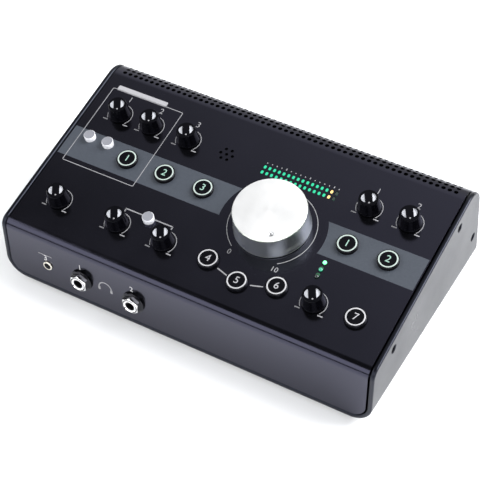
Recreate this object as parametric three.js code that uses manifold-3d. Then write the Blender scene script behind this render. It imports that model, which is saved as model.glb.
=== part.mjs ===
// Studio monitor controller: a sloped desktop case with one large volume knob, nine small knobs,
// lit round buttons, two rows of level lights, headphone sockets in front and line sockets behind.
// Millimetres, +Z up, the front face looks along -Y. The case stands on four feet at Z = 0.

import * as THREE from "three";
import { mergeGeometries, mergeVertices } from "three/addons/utils/BufferGeometryUtils.js";
import Module from "manifold-3d";

const wasm = await Module();
wasm.setup();

// Case, driving dimensions
const width = 290;
const depth = 175.7;
const frontHeight = 50.4;
const slopeAngle = 12.9;
const rearLean = 9.7;
const wall = 3.5;
const cornerRadius = 15.5;
const edgeRound = 0.6;
const frontBend = 7.5;
const rearBend = 20;
const frontBendSteps = 5;
const rearBendSteps = 7;
const cornerSteps = 5;
const edgeSteps = 2;

// Sheet metal cover and rear panel
const sheet = 1.5;
const seam = 0.9;
const seat = 0.3;
const overrun = 1;
const lip = { depth: 15, frontSetback: 9.3, rearSetback: 20.2, reliefRadius: 1 };
const vent = { radius: 1.7, spacing: 4.65, margin: 6, rows: 3, sides: 4, firstFacet: 1 };
const sideScrew = {
  headRadius: 3.6,
  holeRadius: 1.8,
  inset: 9.4,
  frontAlong: 27.3,
  rearAlong: 129.8,
  rearUp: 34.7,
};

// Feet
const foot = { radius: 8, rimRadius: 7, height: 3, fromSide: 24, fromFront: 20, fromRear: 22 };

// Volume knob, a turned and drawn metal shell on a D shaft
const volume = {
  baseRadius: 26.9,
  topRadius: 25.4,
  height: 19.2,
  lift: 0.8,
  rim: 0.9,
  edge: 0.6,
  skin: 2.4,
  bossRadius: 6,
  bossLift: 3.2,
  boreTop: 14,
  dimpleFromAxis: 19.7,
  dimpleRadius: 4,
  dimpleDepth: 0.7,
  sides: 36,
};

// Small knobs with two sloped scoops that leave a ridge for the pointer
const knob = {
  skirtRadius: 8.4,
  skirtHeight: 1.2,
  shoulderRadius: 6.2,
  topRadius: 5.8,
  height: 12,
  edge: 0.5,
  lift: 0.8,
  boreTop: 9.5,
  ridge: 5.2,
  scoopRadius: 3.9,
  scoopFromAxis: 1.4,
  scoopDepth: 0.4,
  scoopTilt: 12,
  scoopSteps: 6,
  sides: 16,
};

// Rotary controls turn this far to each side of twelve o'clock and are shown fully clockwise
const turnLimit = 150;
const shaft = { radius: 3, flat: 0.7, play: 0.3, steps: 5, boreSides: 8 };

// Round lit buttons
const button = {
  radius: 7.6,
  ringRadius: 7.05,
  ringInner: 5.65,
  height: 3,
  dish: 0.3,
  bevel: 0.1,
  edge: 0.5,
  flangeRadius: 8.6,
  flangeThick: 1.2,
  travel: 1,
  play: 0.35,
  sides: 14,
};

// Small latching push buttons
const push = { radius: 4.2, height: 4, edge: 0.6, below: 3, travel: 1.8, play: 0.35, sides: 12 };

// Level meter, status lights and talkback microphone
const meter = {
  columns: 16,
  rows: 2,
  spacing: 3.72,
  rowSpacing: 4.66,
  windowWide: 2.5,
  windowTall: 3.3,
  border: 3,
  sunk: 0.3,
};
const lamp = { radius: 1.5, play: 0.3, rise: 0.5, spacing: 5.3, count: 3, sides: 8 };
const mic = {
  holeRadius: 0.95,
  holeSides: 6,
  ringRadius: 4.7,
  holes: 6,
  bootRadius: 6.6,
  bootSkin: 0.7,
  hollow: 1.2,
  sides: 14,
};

// Boards and what is soldered on them
const board = { below: 9.5, thick: 1.6, sideGap: 4.5, frontGap: 13.3, rearGap: 29.7, corner: 4 };
const post = { radius: 3, fromSide: 16, fromFront: 20, fromRear: 36, clearance: 2, sides: 8 };
const potBody = { side: 9.8, top: 2.7 };
const volumePot = {
  side: 17,
  bushRadius: 4.5,
  bushTop: 2.4,
  sink: 5,
  play: 0.4,
  sides: 12,
  wellSides: 14,
};
const switchBody = { side: 7, pushSide: 8 };

// Sockets: a quarter inch jack, its nut and collar, the small jack and the combination socket
const jackBore = 3.3;
const headphone = {
  bodyWide: 15,
  bodyTall: 14,
  deep: 20,
  noseRadius: 5,
  noseFront: 5,
  up: 23,
  spacing: 42.7,
};
const headphoneNut = {
  acrossFlats: 12.4,
  front: 5.4,
  chamfer: 1,
  collarRadius: 8.6,
  collarThick: 1.6,
  sides: 20,
};
const auxJack = {
  ringRadius: 3.8,
  ringThick: 0.9,
  noseRadius: 3,
  bore: 1.9,
  bodyWide: 11,
  bodyTall: 10,
  deep: 14,
};
const lineJack = { body: 15, noseRadius: 4.5, noseFront: 5, nutFlats: 13, nutThick: 2.5 };
const combo = {
  plateWide: 26,
  plateTall: 31,
  plateThick: 2,
  plateCorner: 4,
  plateSteps: 3,
  barrelRadius: 11.7,
  grooveOuter: 9.7,
  grooveInner: 7.9,
  grooveDeep: 11,
  pinRadius: 1.3,
  pinSides: 6,
  pinFromAxis: 5.6,
  pinSpread: 90,
  pins: 3,
  sides: 18,
};
const usb = {
  wide: 12,
  tall: 11,
  openWide: 8.5,
  openTall: 7.8,
  openDeep: 9,
  tongueWide: 5.6,
  tongueTall: 3.2,
  tongueShort: 1,
  front: 0.6,
};
const inlet = {
  bodyWide: 11,
  bodyTall: 12,
  noseRadius: 4.6,
  front: 0.6,
  bore: 3.15,
  boreDeep: 9,
  pinRadius: 1,
  pinShort: 1.2,
};
const rocker = {
  plateWide: 15,
  plateTall: 21,
  plateThick: 1.5,
  bodyWide: 12.8,
  bodyTall: 18.6,
  openWide: 10,
  openTall: 15.6,
  openDeep: 7.5,
  capWide: 9.2,
  capTall: 13.6,
  capRise: 2.2,
  capValley: 0.7,
  capDrop: 3,
  pivotSunk: 0.6,
  tilt: 9,
};
const socketSides = 12;
const smallSides = 8;
const hexSides = 6;
const holePlay = 0.4;
const connectorBoard = { tall: 40, up: 34.3, thick: 1.6, sideGap: 9 };
const bodyBack = 21.8;

// Columns across the panel, as shares of the width
const columnShares = {
  outer: -0.3976,
  second: -0.3052,
  third: -0.1986,
  fourth: -0.0903,
  phonesOne: -0.231,
  phonesTwo: -0.1029,
  volume: 0.1103,
  monitorOne: 0.2948,
  monitorTwo: 0.399,
  pushOne: -0.4286,
  pushTwo: -0.3759,
  lamps: 0.2698,
};

// Rows up the slope from the front edge, as shares of its length
const rowShares = {
  knobs: 0.6921,
  buttons: 0.4896,
  lowerKnobs: 0.1912,
  cue: 0.1957,
  volume: 0.4512,
  meter: 0.687,
  pushes: 0.5287,
  phonesPush: 0.2622,
  lamps: 0.3787,
};

// Three buttons stand on an arc below the volume knob
const underKnob = { radius: 50.1, spread: 31.5 };

// Front sockets across the width, and rear sockets seen from behind, as shares of the width
const frontShares = { aux: -0.371, headphoneOne: -0.2728 };
const rearShares = {
  power: -0.43,
  inlet: -0.36,
  usb: -0.292,
  outs: [-0.214, -0.138, -0.062, 0.014],
  lines: [0.09, 0.166],
  combos: [0.276, 0.39],
};
const rearUp = 34.3;

const rad = THREE.MathUtils.degToRad;
const rightAxis = new THREE.Vector3(1, 0, 0);
const rearwardAxis = new THREE.Vector3(0, 1, 0);
const upAxis = new THREE.Vector3(0, 0, 1);
const slope = rad(slopeAngle);
const lean = rad(rearLean);

// Materials
const finishes = {
  case: [0x24262b, 0.45, 0.3],
  cover: [0x2b2c33, 0.5, 0.2],
  rubber: [0x111113, 0.9, 0],
  aluminium: [0xd8dadc, 0.25, 1],
  steel: [0x9a9da1, 0.35, 1],
  chrome: [0xe2e4e6, 0.12, 1],
  gloss: [0x0c0c10, 0.2, 0],
  plastic: [0x17181b, 0.5, 0],
  cap: [0xe6e8ea, 0.35, 0],
  lens: [0x2fbf8f, 0.3, 0],
  circuit: [0x1d5b34, 0.6, 0],
};

function finish(name) {
  const [color, roughness, metalness] = finishes[name];
  return new THREE.MeshStandardMaterial({ name, color, roughness, metalness });
}

// Closed triangle meshes to solids and back
function toSolid(geometry) {
  const bare = geometry.clone();
  bare.deleteAttribute("uv");
  bare.deleteAttribute("normal");
  const welded = mergeVertices(bare);
  const source = welded.index.array;
  const kept = [];
  for (let i = 0; i < source.length; i += 3) {
    const [a, b, c] = [source[i], source[i + 1], source[i + 2]];
    if (a !== b && b !== c && c !== a) kept.push(a, b, c);
  }
  const mesh = new wasm.Mesh({
    numProp: 3,
    vertProperties: new Float32Array(welded.attributes.position.array),
    triVerts: new Uint32Array(kept),
  });
  return new wasm.Manifold(mesh);
}

function toGeometry(solid) {
  const mesh = solid.getMesh();
  const geometry = new THREE.BufferGeometry();
  geometry.setAttribute("position", new THREE.BufferAttribute(mesh.vertProperties, 3));
  geometry.setIndex(new THREE.BufferAttribute(mesh.triVerts, 1));
  geometry.computeVertexNormals();
  return geometry;
}

function join(...geometries) {
  return geometries.map(toSolid).reduce((whole, next) => whole.add(next));
}

function cut(solid, cutters) {
  return cutters.length ? solid.subtract(toSolid(mergeGeometries(cutters.map(plain)))) : solid;
}

function plain(geometry) {
  const flat = geometry.index ? geometry.toNonIndexed() : geometry.clone();
  flat.deleteAttribute("uv");
  flat.deleteAttribute("normal");
  return flat;
}

// Basic forms, all standing along local Z
function revolve(profile, sides) {
  const points = profile.map(([r, z]) => new THREE.Vector2(r, z));
  return new THREE.LatheGeometry(points, sides).rotateX(Math.PI / 2);
}

function rod(radius, from, to, sides = socketSides) {
  const geometry = new THREE.CylinderGeometry(radius, radius, to - from, sides);
  return geometry.rotateX(Math.PI / 2).translate(0, 0, (from + to) / 2);
}

function prism(shape, from, to, steps = 1) {
  const options = { depth: to - from, bevelEnabled: false, curveSegments: steps };
  return new THREE.ExtrudeGeometry(shape, options).translate(0, 0, from);
}

function rectangle(wide, tall, corner = 0) {
  const [x, y] = [wide / 2, tall / 2];
  const shape = new THREE.Shape();
  if (corner === 0) {
    shape.setFromPoints([[-x, -y], [x, -y], [x, y], [-x, y]].map(([a, b]) => new THREE.Vector2(a, b)));
    return shape;
  }
  shape.absarc(x - corner, y - corner, corner, 0, Math.PI / 2);
  shape.absarc(corner - x, y - corner, corner, Math.PI / 2, Math.PI);
  shape.absarc(corner - x, corner - y, corner, Math.PI, -Math.PI / 2);
  shape.absarc(x - corner, corner - y, corner, -Math.PI / 2, 0);
  return shape;
}

function hexagon(acrossFlats) {
  const radius = acrossFlats / 2 / Math.cos(Math.PI / hexSides);
  const shape = new THREE.Shape();
  const corners = Array.from({ length: hexSides }, (_, i) => ((i + 0.5) * 2 * Math.PI) / hexSides);
  shape.setFromPoints(corners.map((a) => new THREE.Vector2(radius * Math.cos(a), radius * Math.sin(a))));
  return shape;
}

function block(wide, tall, from, to, x = 0, y = 0) {
  return prism(rectangle(wide, tall), from, to).translate(x, y, 0);
}

// Side view of the case in (Y, Z), the underside at Z = 0 and the front face at Y = 0
function meet(p, d, q, e) {
  const t = ((q.x - p.x) * e.y - (q.y - p.y) * e.x) / (d.x * e.y - d.y * e.x);
  return new THREE.Vector2(p.x + d.x * t, p.y + d.y * t);
}

const uphill = new THREE.Vector2(Math.cos(slope), Math.sin(slope));
const rearward = new THREE.Vector2(-Math.sin(lean), Math.cos(lean));

function sideCorners(inset) {
  const onSlope = new THREE.Vector2(-Math.sin(slope) * -inset, frontHeight - Math.cos(slope) * inset);
  const onRear = new THREE.Vector2(depth - Math.cos(lean) * inset, -Math.sin(lean) * inset);
  const upright = new THREE.Vector2(0, 1);
  const level = new THREE.Vector2(1, 0);
  const frontLine = new THREE.Vector2(inset, 0);
  const floorLine = new THREE.Vector2(0, inset);
  return {
    frontFoot: new THREE.Vector2(inset, inset),
    rearFoot: meet(floorLine, level, onRear, rearward),
    rearTop: meet(onSlope, uphill, onRear, rearward),
    frontTop: meet(frontLine, upright, onSlope, uphill),
  };
}

function bend(before, corner, after, radius, steps) {
  const back = before.clone().sub(corner).normalize();
  const ahead = after.clone().sub(corner).normalize();
  const half = Math.acos(THREE.MathUtils.clamp(back.dot(ahead), -1, 1)) / 2;
  const reach = radius / Math.tan(half);
  const start = corner.clone().addScaledVector(back, reach);
  const end = corner.clone().addScaledVector(ahead, reach);
  const inward = back.clone().add(ahead).normalize();
  const centre = corner.clone().addScaledVector(inward, radius / Math.sin(half));
  const from = Math.atan2(start.y - centre.y, start.x - centre.x);
  let sweep = Math.atan2(end.y - centre.y, end.x - centre.x) - from;
  if (sweep > Math.PI) sweep -= 2 * Math.PI;
  if (sweep < -Math.PI) sweep += 2 * Math.PI;
  const points = [];
  for (let i = 0; i <= steps; i++) {
    const angle = from + (sweep * i) / steps;
    const spoke = new THREE.Vector2(Math.cos(angle), Math.sin(angle));
    points.push(spoke.multiplyScalar(radius).add(centre));
  }
  return { points, centre, from, sweep, reach };
}

function frontBendAt(inset) {
  const c = sideCorners(inset);
  return bend(c.frontFoot, c.frontTop, c.rearTop, frontBend - inset, frontBendSteps);
}

function rearBendAt(inset) {
  const c = sideCorners(inset);
  return bend(c.frontTop, c.rearTop, c.rearFoot, rearBend - inset, rearBendSteps);
}

function sideOutline() {
  const c = sideCorners(0);
  const frontFoot = bend(c.rearFoot, c.frontFoot, c.frontTop, edgeRound, edgeSteps).points;
  const rearFoot = bend(c.rearTop, c.rearFoot, c.frontFoot, edgeRound, edgeSteps).points;
  const path = [...frontFoot, ...frontBendAt(0).points, ...rearBendAt(0).points, ...rearFoot];
  return new THREE.Shape(path.reverse());
}

// A shape drawn in (Y, Z) and extruded across the case, centred on the middle plane
function across(shape, wide, round = 0) {
  const options = {
    depth: wide - 2 * round,
    curveSegments: edgeSteps,
    bevelEnabled: round > 0,
    bevelSegments: edgeSteps,
    bevelSize: round,
    bevelThickness: round,
    bevelOffset: -round,
  };
  const geometry = new THREE.ExtrudeGeometry(shape, options).translate(0, 0, round - wide / 2);
  return geometry.applyMatrix4(new THREE.Matrix4().makeBasis(rearwardAxis, upAxis, rightAxis));
}

// Frames of the three faces: X across, Y up the face, Z out of it
const corners = sideCorners(0);
const slopeLength = corners.frontTop.distanceTo(corners.rearTop);
const rearLength = corners.rearFoot.distanceTo(corners.rearTop);

function faceFrame(x, y, z, origin) {
  const frame = new THREE.Matrix4().makeBasis(x, y, z);
  return frame.setPosition(0, origin.x, origin.y);
}

const panelFrame = faceFrame(
  rightAxis,
  new THREE.Vector3(0, Math.cos(slope), Math.sin(slope)),
  new THREE.Vector3(0, -Math.sin(slope), Math.cos(slope)),
  corners.frontTop,
);
const frontFrame = faceFrame(rightAxis, upAxis, rearwardAxis.clone().negate(), new THREE.Vector2(0, 0));
const rearFrame = faceFrame(
  rightAxis.clone().negate(),
  new THREE.Vector3(0, -Math.sin(lean), Math.cos(lean)),
  new THREE.Vector3(0, Math.cos(lean), Math.sin(lean)),
  corners.rearFoot,
);

function onFace(geometry, frame) {
  return geometry.clone().applyMatrix4(frame);
}

// Where the controls stand on the slope
function panelPlace(column, row) {
  return new THREE.Vector2(columnShares[column] * width, rowShares[row] * slopeLength);
}

const volumePlace = panelPlace("volume", "volume");

const knobPlaces = {
  gain_knob_1: panelPlace("outer", "knobs"),
  gain_knob_2: panelPlace("second", "knobs"),
  line_trim_knob: panelPlace("third", "knobs"),
  monitor_trim_knob_1: panelPlace("monitorOne", "knobs"),
  monitor_trim_knob_2: panelPlace("monitorTwo", "knobs"),
  direct_level_knob: panelPlace("outer", "lowerKnobs"),
  headphone_level_knob_1: panelPlace("phonesOne", "lowerKnobs"),
  headphone_level_knob_2: panelPlace("phonesTwo", "lowerKnobs"),
  talkback_level_knob: panelPlace("monitorOne", "lowerKnobs"),
};

function underKnobPlace(turn) {
  const angle = rad(turn * underKnob.spread) - Math.PI / 2;
  const offset = new THREE.Vector2(Math.cos(angle), Math.sin(angle)).multiplyScalar(underKnob.radius);
  return offset.add(volumePlace);
}

const buttonPlaces = {
  source_button_1: panelPlace("second", "buttons"),
  source_button_2: panelPlace("third", "buttons"),
  source_button_3: panelPlace("fourth", "buttons"),
  monitor_button_1: panelPlace("monitorOne", "buttons"),
  monitor_button_2: panelPlace("monitorTwo", "buttons"),
  mono_button: underKnobPlace(-1),
  mute_button: underKnobPlace(0),
  dim_button: underKnobPlace(1),
  talkback_button: panelPlace("monitorTwo", "cue"),
};

const pushPlaces = {
  input_push_1: panelPlace("pushOne", "pushes"),
  input_push_2: panelPlace("pushTwo", "pushes"),
  headphone_push: panelPlace("phonesOne", "phonesPush").lerp(panelPlace("phonesTwo", "phonesPush"), 0.5),
};

const micPlace = panelPlace("fourth", "knobs");
const meterPlace = panelPlace("volume", "meter");
const lampPlaces = Array.from({ length: lamp.count }, (_, i) => {
  return panelPlace("lamps", "lamps").add(new THREE.Vector2(0, -i * lamp.spacing));
});

function windowPlaces() {
  const places = [];
  for (let row = 0; row < meter.rows; row++) {
    for (let column = 0; column < meter.columns; column++) {
      const x = (column - (meter.columns - 1) / 2) * meter.spacing;
      const y = (row - (meter.rows - 1) / 2) * meter.rowSpacing;
      places.push(new THREE.Vector2(x, y).add(meterPlace));
    }
  }
  return places;
}

// The case seen from the front, open upwards with two round bottom corners, drawn in by an inset
function trough(inset, top, low = inset) {
  const x = width / 2 - inset;
  const radius = cornerRadius - inset;
  const shape = new THREE.Shape();
  shape.moveTo(x, top);
  shape.lineTo(-x, top);
  shape.absarc(radius - x, low + radius, radius, Math.PI, Math.PI * 1.5);
  shape.absarc(x - radius, low + radius, radius, -Math.PI / 2, 0);
  return shape;
}

function along(shape, from, to) {
  const turn = new THREE.Matrix4().makeBasis(rightAxis, upAxis, rearwardAxis.clone().negate());
  return prism(shape, -to, -from, cornerSteps).applyMatrix4(turn);
}

function sideScrews() {
  const places = [
    new THREE.Vector3(0, sideScrew.frontAlong, -sideScrew.inset).applyMatrix4(panelFrame),
    new THREE.Vector3(0, sideScrew.rearAlong, -sideScrew.inset).applyMatrix4(panelFrame),
    new THREE.Vector3(0, sideScrew.rearUp / Math.cos(lean), -sideScrew.inset).applyMatrix4(rearFrame),
  ];
  const sink = sideScrew.headRadius - sideScrew.holeRadius;
  const profile = [
    [0, -wall - overrun],
    [sideScrew.holeRadius, -wall - overrun],
    [sideScrew.holeRadius, -sink],
    [sideScrew.headRadius, 0],
    [sideScrew.headRadius, overrun],
    [0, overrun],
  ];
  return places.flatMap(({ y, z }) => [-1, 1].map((side) => {
    const cutter = revolve(profile, smallSides).rotateY((side * Math.PI) / 2);
    return cutter.translate((side * width) / 2, y, z);
  }));
}

// Base shell: one thick plate bent up at both sides, cut to the side view
function baseShell() {
  const top = frontHeight + slopeLength;
  const outer = toSolid(along(trough(0, top), -overrun, depth + overrun));
  const inner = toSolid(along(trough(wall, top + overrun), -2 * overrun, depth + 2 * overrun));
  const body = toSolid(across(sideOutline(), width, edgeRound));
  return toGeometry(cut(body.intersect(outer).subtract(inner), sideScrews()));
}

// Cover: front face, slope and rear bend in one folded sheet with lips at the sides
function coverBand() {
  const low = wall + seam;
  const sides = [0, sheet].map((inset) => [
    new THREE.Vector2(inset, low),
    ...frontBendAt(inset).points,
    ...rearBendAt(inset).points,
  ]);
  return new THREE.Shape([...sides[0], ...sides[1].reverse()].reverse());
}

function coverLips() {
  const x = width / 2 - wall - seam - sheet / 2;
  const [from, to] = [lip.frontSetback, slopeLength - lip.rearSetback];
  const strip = block(sheet, to - from, -lip.depth, -sheet / 2, 0, (from + to) / 2);
  return [-x, x].map((side) => onFace(strip.clone().translate(side, 0, 0), panelFrame));
}

function reliefNotches() {
  const x = width / 2 - wall - seam;
  const ends = [lip.frontSetback, slopeLength - lip.rearSetback];
  const notch = rod(lip.reliefRadius, -lip.depth - overrun, overrun, smallSides);
  return ends.flatMap((y) => [-1, 1].map((side) => notch.clone().translate(side * x, y, 0)));
}

function ventHoles() {
  const arc = rearBendAt(0);
  const count = Math.floor((width - 2 * (wall + vent.margin)) / vent.spacing);
  const facet = arc.sweep / rearBendSteps;
  const holes = [];
  for (let row = 0; row < vent.rows; row++) {
    const angle = arc.from + facet * (vent.firstFacet + row + 0.5);
    const hole = rod(vent.radius, rearBend - sheet - overrun, rearBend + overrun, vent.sides);
    hole.rotateX(angle - Math.PI / 2).translate(0, arc.centre.x, arc.centre.y);
    for (let i = 0; i < count; i++) {
      holes.push(hole.clone().translate((i - (count - 1) / 2) * vent.spacing, 0, 0));
    }
  }
  return holes;
}

function micHoles() {
  const hole = rod(mic.holeRadius, -sheet - overrun, overrun, mic.holeSides);
  const ring = Array.from({ length: mic.holes }, (_, i) => {
    const angle = (i * 2 * Math.PI) / mic.holes;
    return hole.clone().translate(mic.ringRadius * Math.cos(angle), mic.ringRadius * Math.sin(angle), 0);
  });
  return [hole, ...ring].map((each) => each.clone().translate(micPlace.x, micPlace.y, 0));
}

// Cutters through the sheet at a list of places
function drill(radius, sides) {
  return ({ x, y }) => rod(radius, -sheet - overrun, overrun, sides).translate(x, y, 0);
}

function panelHoles() {
  const slot = block(meter.windowWide, meter.windowTall, -sheet - overrun, overrun);
  return [
    drill(volumePot.bushRadius + volumePot.play, volumePot.sides)(volumePlace),
    ...Object.values(knobPlaces).map(drill(shaft.radius + 2 * shaft.play, smallSides)),
    ...Object.values(buttonPlaces).map(drill(button.radius + button.play, button.sides)),
    ...Object.values(pushPlaces).map(drill(push.radius + push.play, push.sides)),
    ...lampPlaces.map(drill(lamp.radius + lamp.play, lamp.sides)),
    ...windowPlaces().map(({ x, y }) => slot.clone().translate(x, y, 0)),
    ...micHoles(),
  ].map((hole) => onFace(hole, panelFrame));
}

const frontPlaces = {
  aux: frontShares.aux * width,
  headphones: [0, 1].map((i) => frontShares.headphoneOne * width + i * headphone.spacing),
};

function frontHoles() {
  const { aux, headphones } = frontPlaces;
  const y = headphone.up;
  return [
    drill(auxJack.noseRadius + holePlay)({ x: aux, y }),
    ...headphones.map((x) => drill(headphone.noseRadius + holePlay)({ x, y })),
  ].map((hole) => onFace(hole, frontFrame));
}

function topCover() {
  const section = trough(wall + seam, frontHeight + slopeLength);
  const band = toSolid(across(coverBand(), width));
  const between = toSolid(along(section, -overrun, depth + overrun));
  const folded = band.intersect(between).add(join(...coverLips()));
  const notches = reliefNotches().map((notch) => onFace(notch, panelFrame));
  return toGeometry(cut(cut(folded, [...notches, ...frontHoles(), ...panelHoles()]), ventHoles()));
}

// Rear panel: a flat sheet with side lips, holes for the sockets
function rearPlace(share) {
  return new THREE.Vector2(share * width, rearUp);
}

const rearPlaces = {
  power: rearPlace(rearShares.power),
  inlet: rearPlace(rearShares.inlet),
  usb: rearPlace(rearShares.usb),
  outs: rearShares.outs.map(rearPlace),
  lines: rearShares.lines.map(rearPlace),
  combos: rearShares.combos.map(rearPlace),
};

function rearPanel() {
  const inset = wall + seam;
  const low = inset / Math.cos(lean);
  const high = rearLength - rearBendAt(0).reach - seam;
  const lipLow = low + cornerRadius - inset;
  const strip = block(sheet, high - lipLow, -lip.depth, -sheet / 2, 0, (high + lipLow) / 2);
  const lipMiddle = width / 2 - inset - sheet / 2;
  const lips = [-1, 1].map((side) => strip.clone().translate(side * lipMiddle, 0, 0));
  const slot = (wide, tall, place) => block(wide, tall, -sheet - overrun, overrun, place.x, place.y);
  const holes = [
    ...[...rearPlaces.outs, ...rearPlaces.lines].map(drill(lineJack.noseRadius + holePlay)),
    ...rearPlaces.combos.map(drill(combo.barrelRadius + holePlay, combo.sides)),
    drill(inlet.noseRadius + holePlay)(rearPlaces.inlet),
    slot(usb.wide + 2 * holePlay, usb.tall + 2 * holePlay, rearPlaces.usb),
    slot(rocker.bodyWide + 2 * holePlay, rocker.bodyTall + 2 * holePlay, rearPlaces.power),
  ];
  const plate = prism(trough(inset, high, low), -sheet, 0, cornerSteps);
  return toGeometry(cut(join(plate, ...lips), holes));
}

// Rubber foot
function rubberFoot() {
  const profile = [
    [0, 0],
    [foot.rimRadius, 0],
    [foot.radius, foot.height - seat],
    [0, foot.height - seat],
  ];
  return revolve(profile, socketSides);
}

// Bore that a knob's shaft enters, from below the knob up to its end
function shaftBore(top) {
  const radius = (shaft.radius + shaft.play) / Math.cos(Math.PI / shaft.boreSides);
  return rod(radius, -overrun, top, shaft.boreSides);
}

// Volume knob: a hollow cup with a boss inside and a finger dimple on its face
function volumeKnob() {
  const { height, lift, skin } = volume;
  const ceiling = height - skin;
  const profile = [
    [0, ceiling],
    [volume.topRadius - skin, ceiling],
    [volume.baseRadius - skin, lift],
    [volume.baseRadius, lift],
    [volume.baseRadius, lift + volume.rim],
    [volume.topRadius + volume.edge, height - volume.edge],
    [volume.topRadius, height],
    [0, height],
  ];
  const ball = new THREE.SphereGeometry(volume.dimpleRadius, smallSides, smallSides);
  ball.translate(0, volume.dimpleFromAxis, height + volume.dimpleRadius - volume.dimpleDepth);
  const boss = toSolid(rod(volume.bossRadius, volume.bossLift, height - skin / 2));
  const body = toSolid(revolve(profile, volume.sides)).add(boss);
  return toGeometry(cut(body, [ball, shaftBore(volume.boreTop)]));
}

// Cutter of one D-shaped scoop, its straight edge along the pointer ridge
function scoop() {
  const half = knob.ridge / 2;
  const reach = Math.acos((half - knob.scoopFromAxis) / knob.scoopRadius);
  const shape = new THREE.Shape();
  shape.absarc(knob.scoopFromAxis - half, 0, knob.scoopRadius, -reach, reach);
  const cutter = prism(shape, -knob.scoopDepth, knob.height, knob.scoopSteps);
  return cutter.rotateY(rad(knob.scoopTilt)).translate(half, 0, knob.height);
}

// Small knob: a tapered drum, two scoops leave the pointer ridge standing
function smallKnob() {
  const profile = [
    [0, knob.lift],
    [knob.skirtRadius, knob.lift],
    [knob.skirtRadius, knob.lift + knob.skirtHeight],
    [knob.shoulderRadius, knob.height - knob.edge],
    [knob.topRadius, knob.height],
    [0, knob.height],
  ];
  const cutters = [scoop(), scoop().rotateZ(Math.PI), shaftBore(knob.boreTop)];
  return toGeometry(cut(toSolid(revolve(profile, knob.sides)), cutters));
}

// D shaft of a rotary control, the flat faces away from the pointer
function dShaft(from, to) {
  const half = Math.acos((shaft.radius - shaft.flat) / shaft.radius);
  const shape = new THREE.Shape();
  shape.absarc(0, 0, shaft.radius, half - Math.PI / 2, (3 * Math.PI) / 2 - half);
  return prism(shape, from, to, shaft.steps);
}

// Round button: a cap with a raised light ring and a flange that keeps it under the cover
function roundButton() {
  const flangeTop = -sheet - seat;
  const profile = [
    [0, flangeTop - button.flangeThick],
    [button.flangeRadius, flangeTop - button.flangeThick],
    [button.flangeRadius, flangeTop],
    [button.radius, flangeTop],
    [button.radius, button.height - button.edge],
    [button.ringRadius, button.height],
    [button.ringInner, button.height],
    [button.ringInner - button.bevel, button.height - button.dish],
    [0, button.height - button.dish],
  ];
  return revolve(profile, button.sides);
}

function pushButton() {
  const profile = [
    [0, -push.below],
    [push.radius, -push.below],
    [push.radius, push.height - push.edge],
    [push.radius - push.edge, push.height],
    [0, push.height],
  ];
  return revolve(profile, push.sides);
}

// Light guide: one block under the cover with a finger in every window
function meterGuide() {
  const wide = (meter.columns - 1) * meter.spacing + meter.windowWide + 2 * meter.border;
  const tall = (meter.rows - 1) * meter.rowSpacing + meter.windowTall + 2 * meter.border;
  const base = block(wide, tall, seat - board.below, -sheet - seat, meterPlace.x, meterPlace.y);
  const [fingerWide, fingerTall] = [meter.windowWide - 2 * seat, meter.windowTall - 2 * seat];
  const finger = block(fingerWide, fingerTall, -sheet - overrun, -meter.sunk);
  const fingers = windowPlaces().map(({ x, y }) => plain(finger.clone().translate(x, y, 0)));
  return toGeometry(toSolid(base).add(toSolid(mergeGeometries(fingers))));
}

// Microphone in its soft boot
function micCapsule() {
  const top = -sheet - seat;
  const profile = [
    [0, seat - board.below],
    [mic.bootRadius, seat - board.below],
    [mic.bootRadius, top],
    [mic.bootRadius - mic.bootSkin, top],
    [mic.bootRadius - mic.bootSkin, top - mic.hollow],
    [0, top - mic.hollow],
  ];
  return revolve(profile, mic.sides);
}

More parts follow.
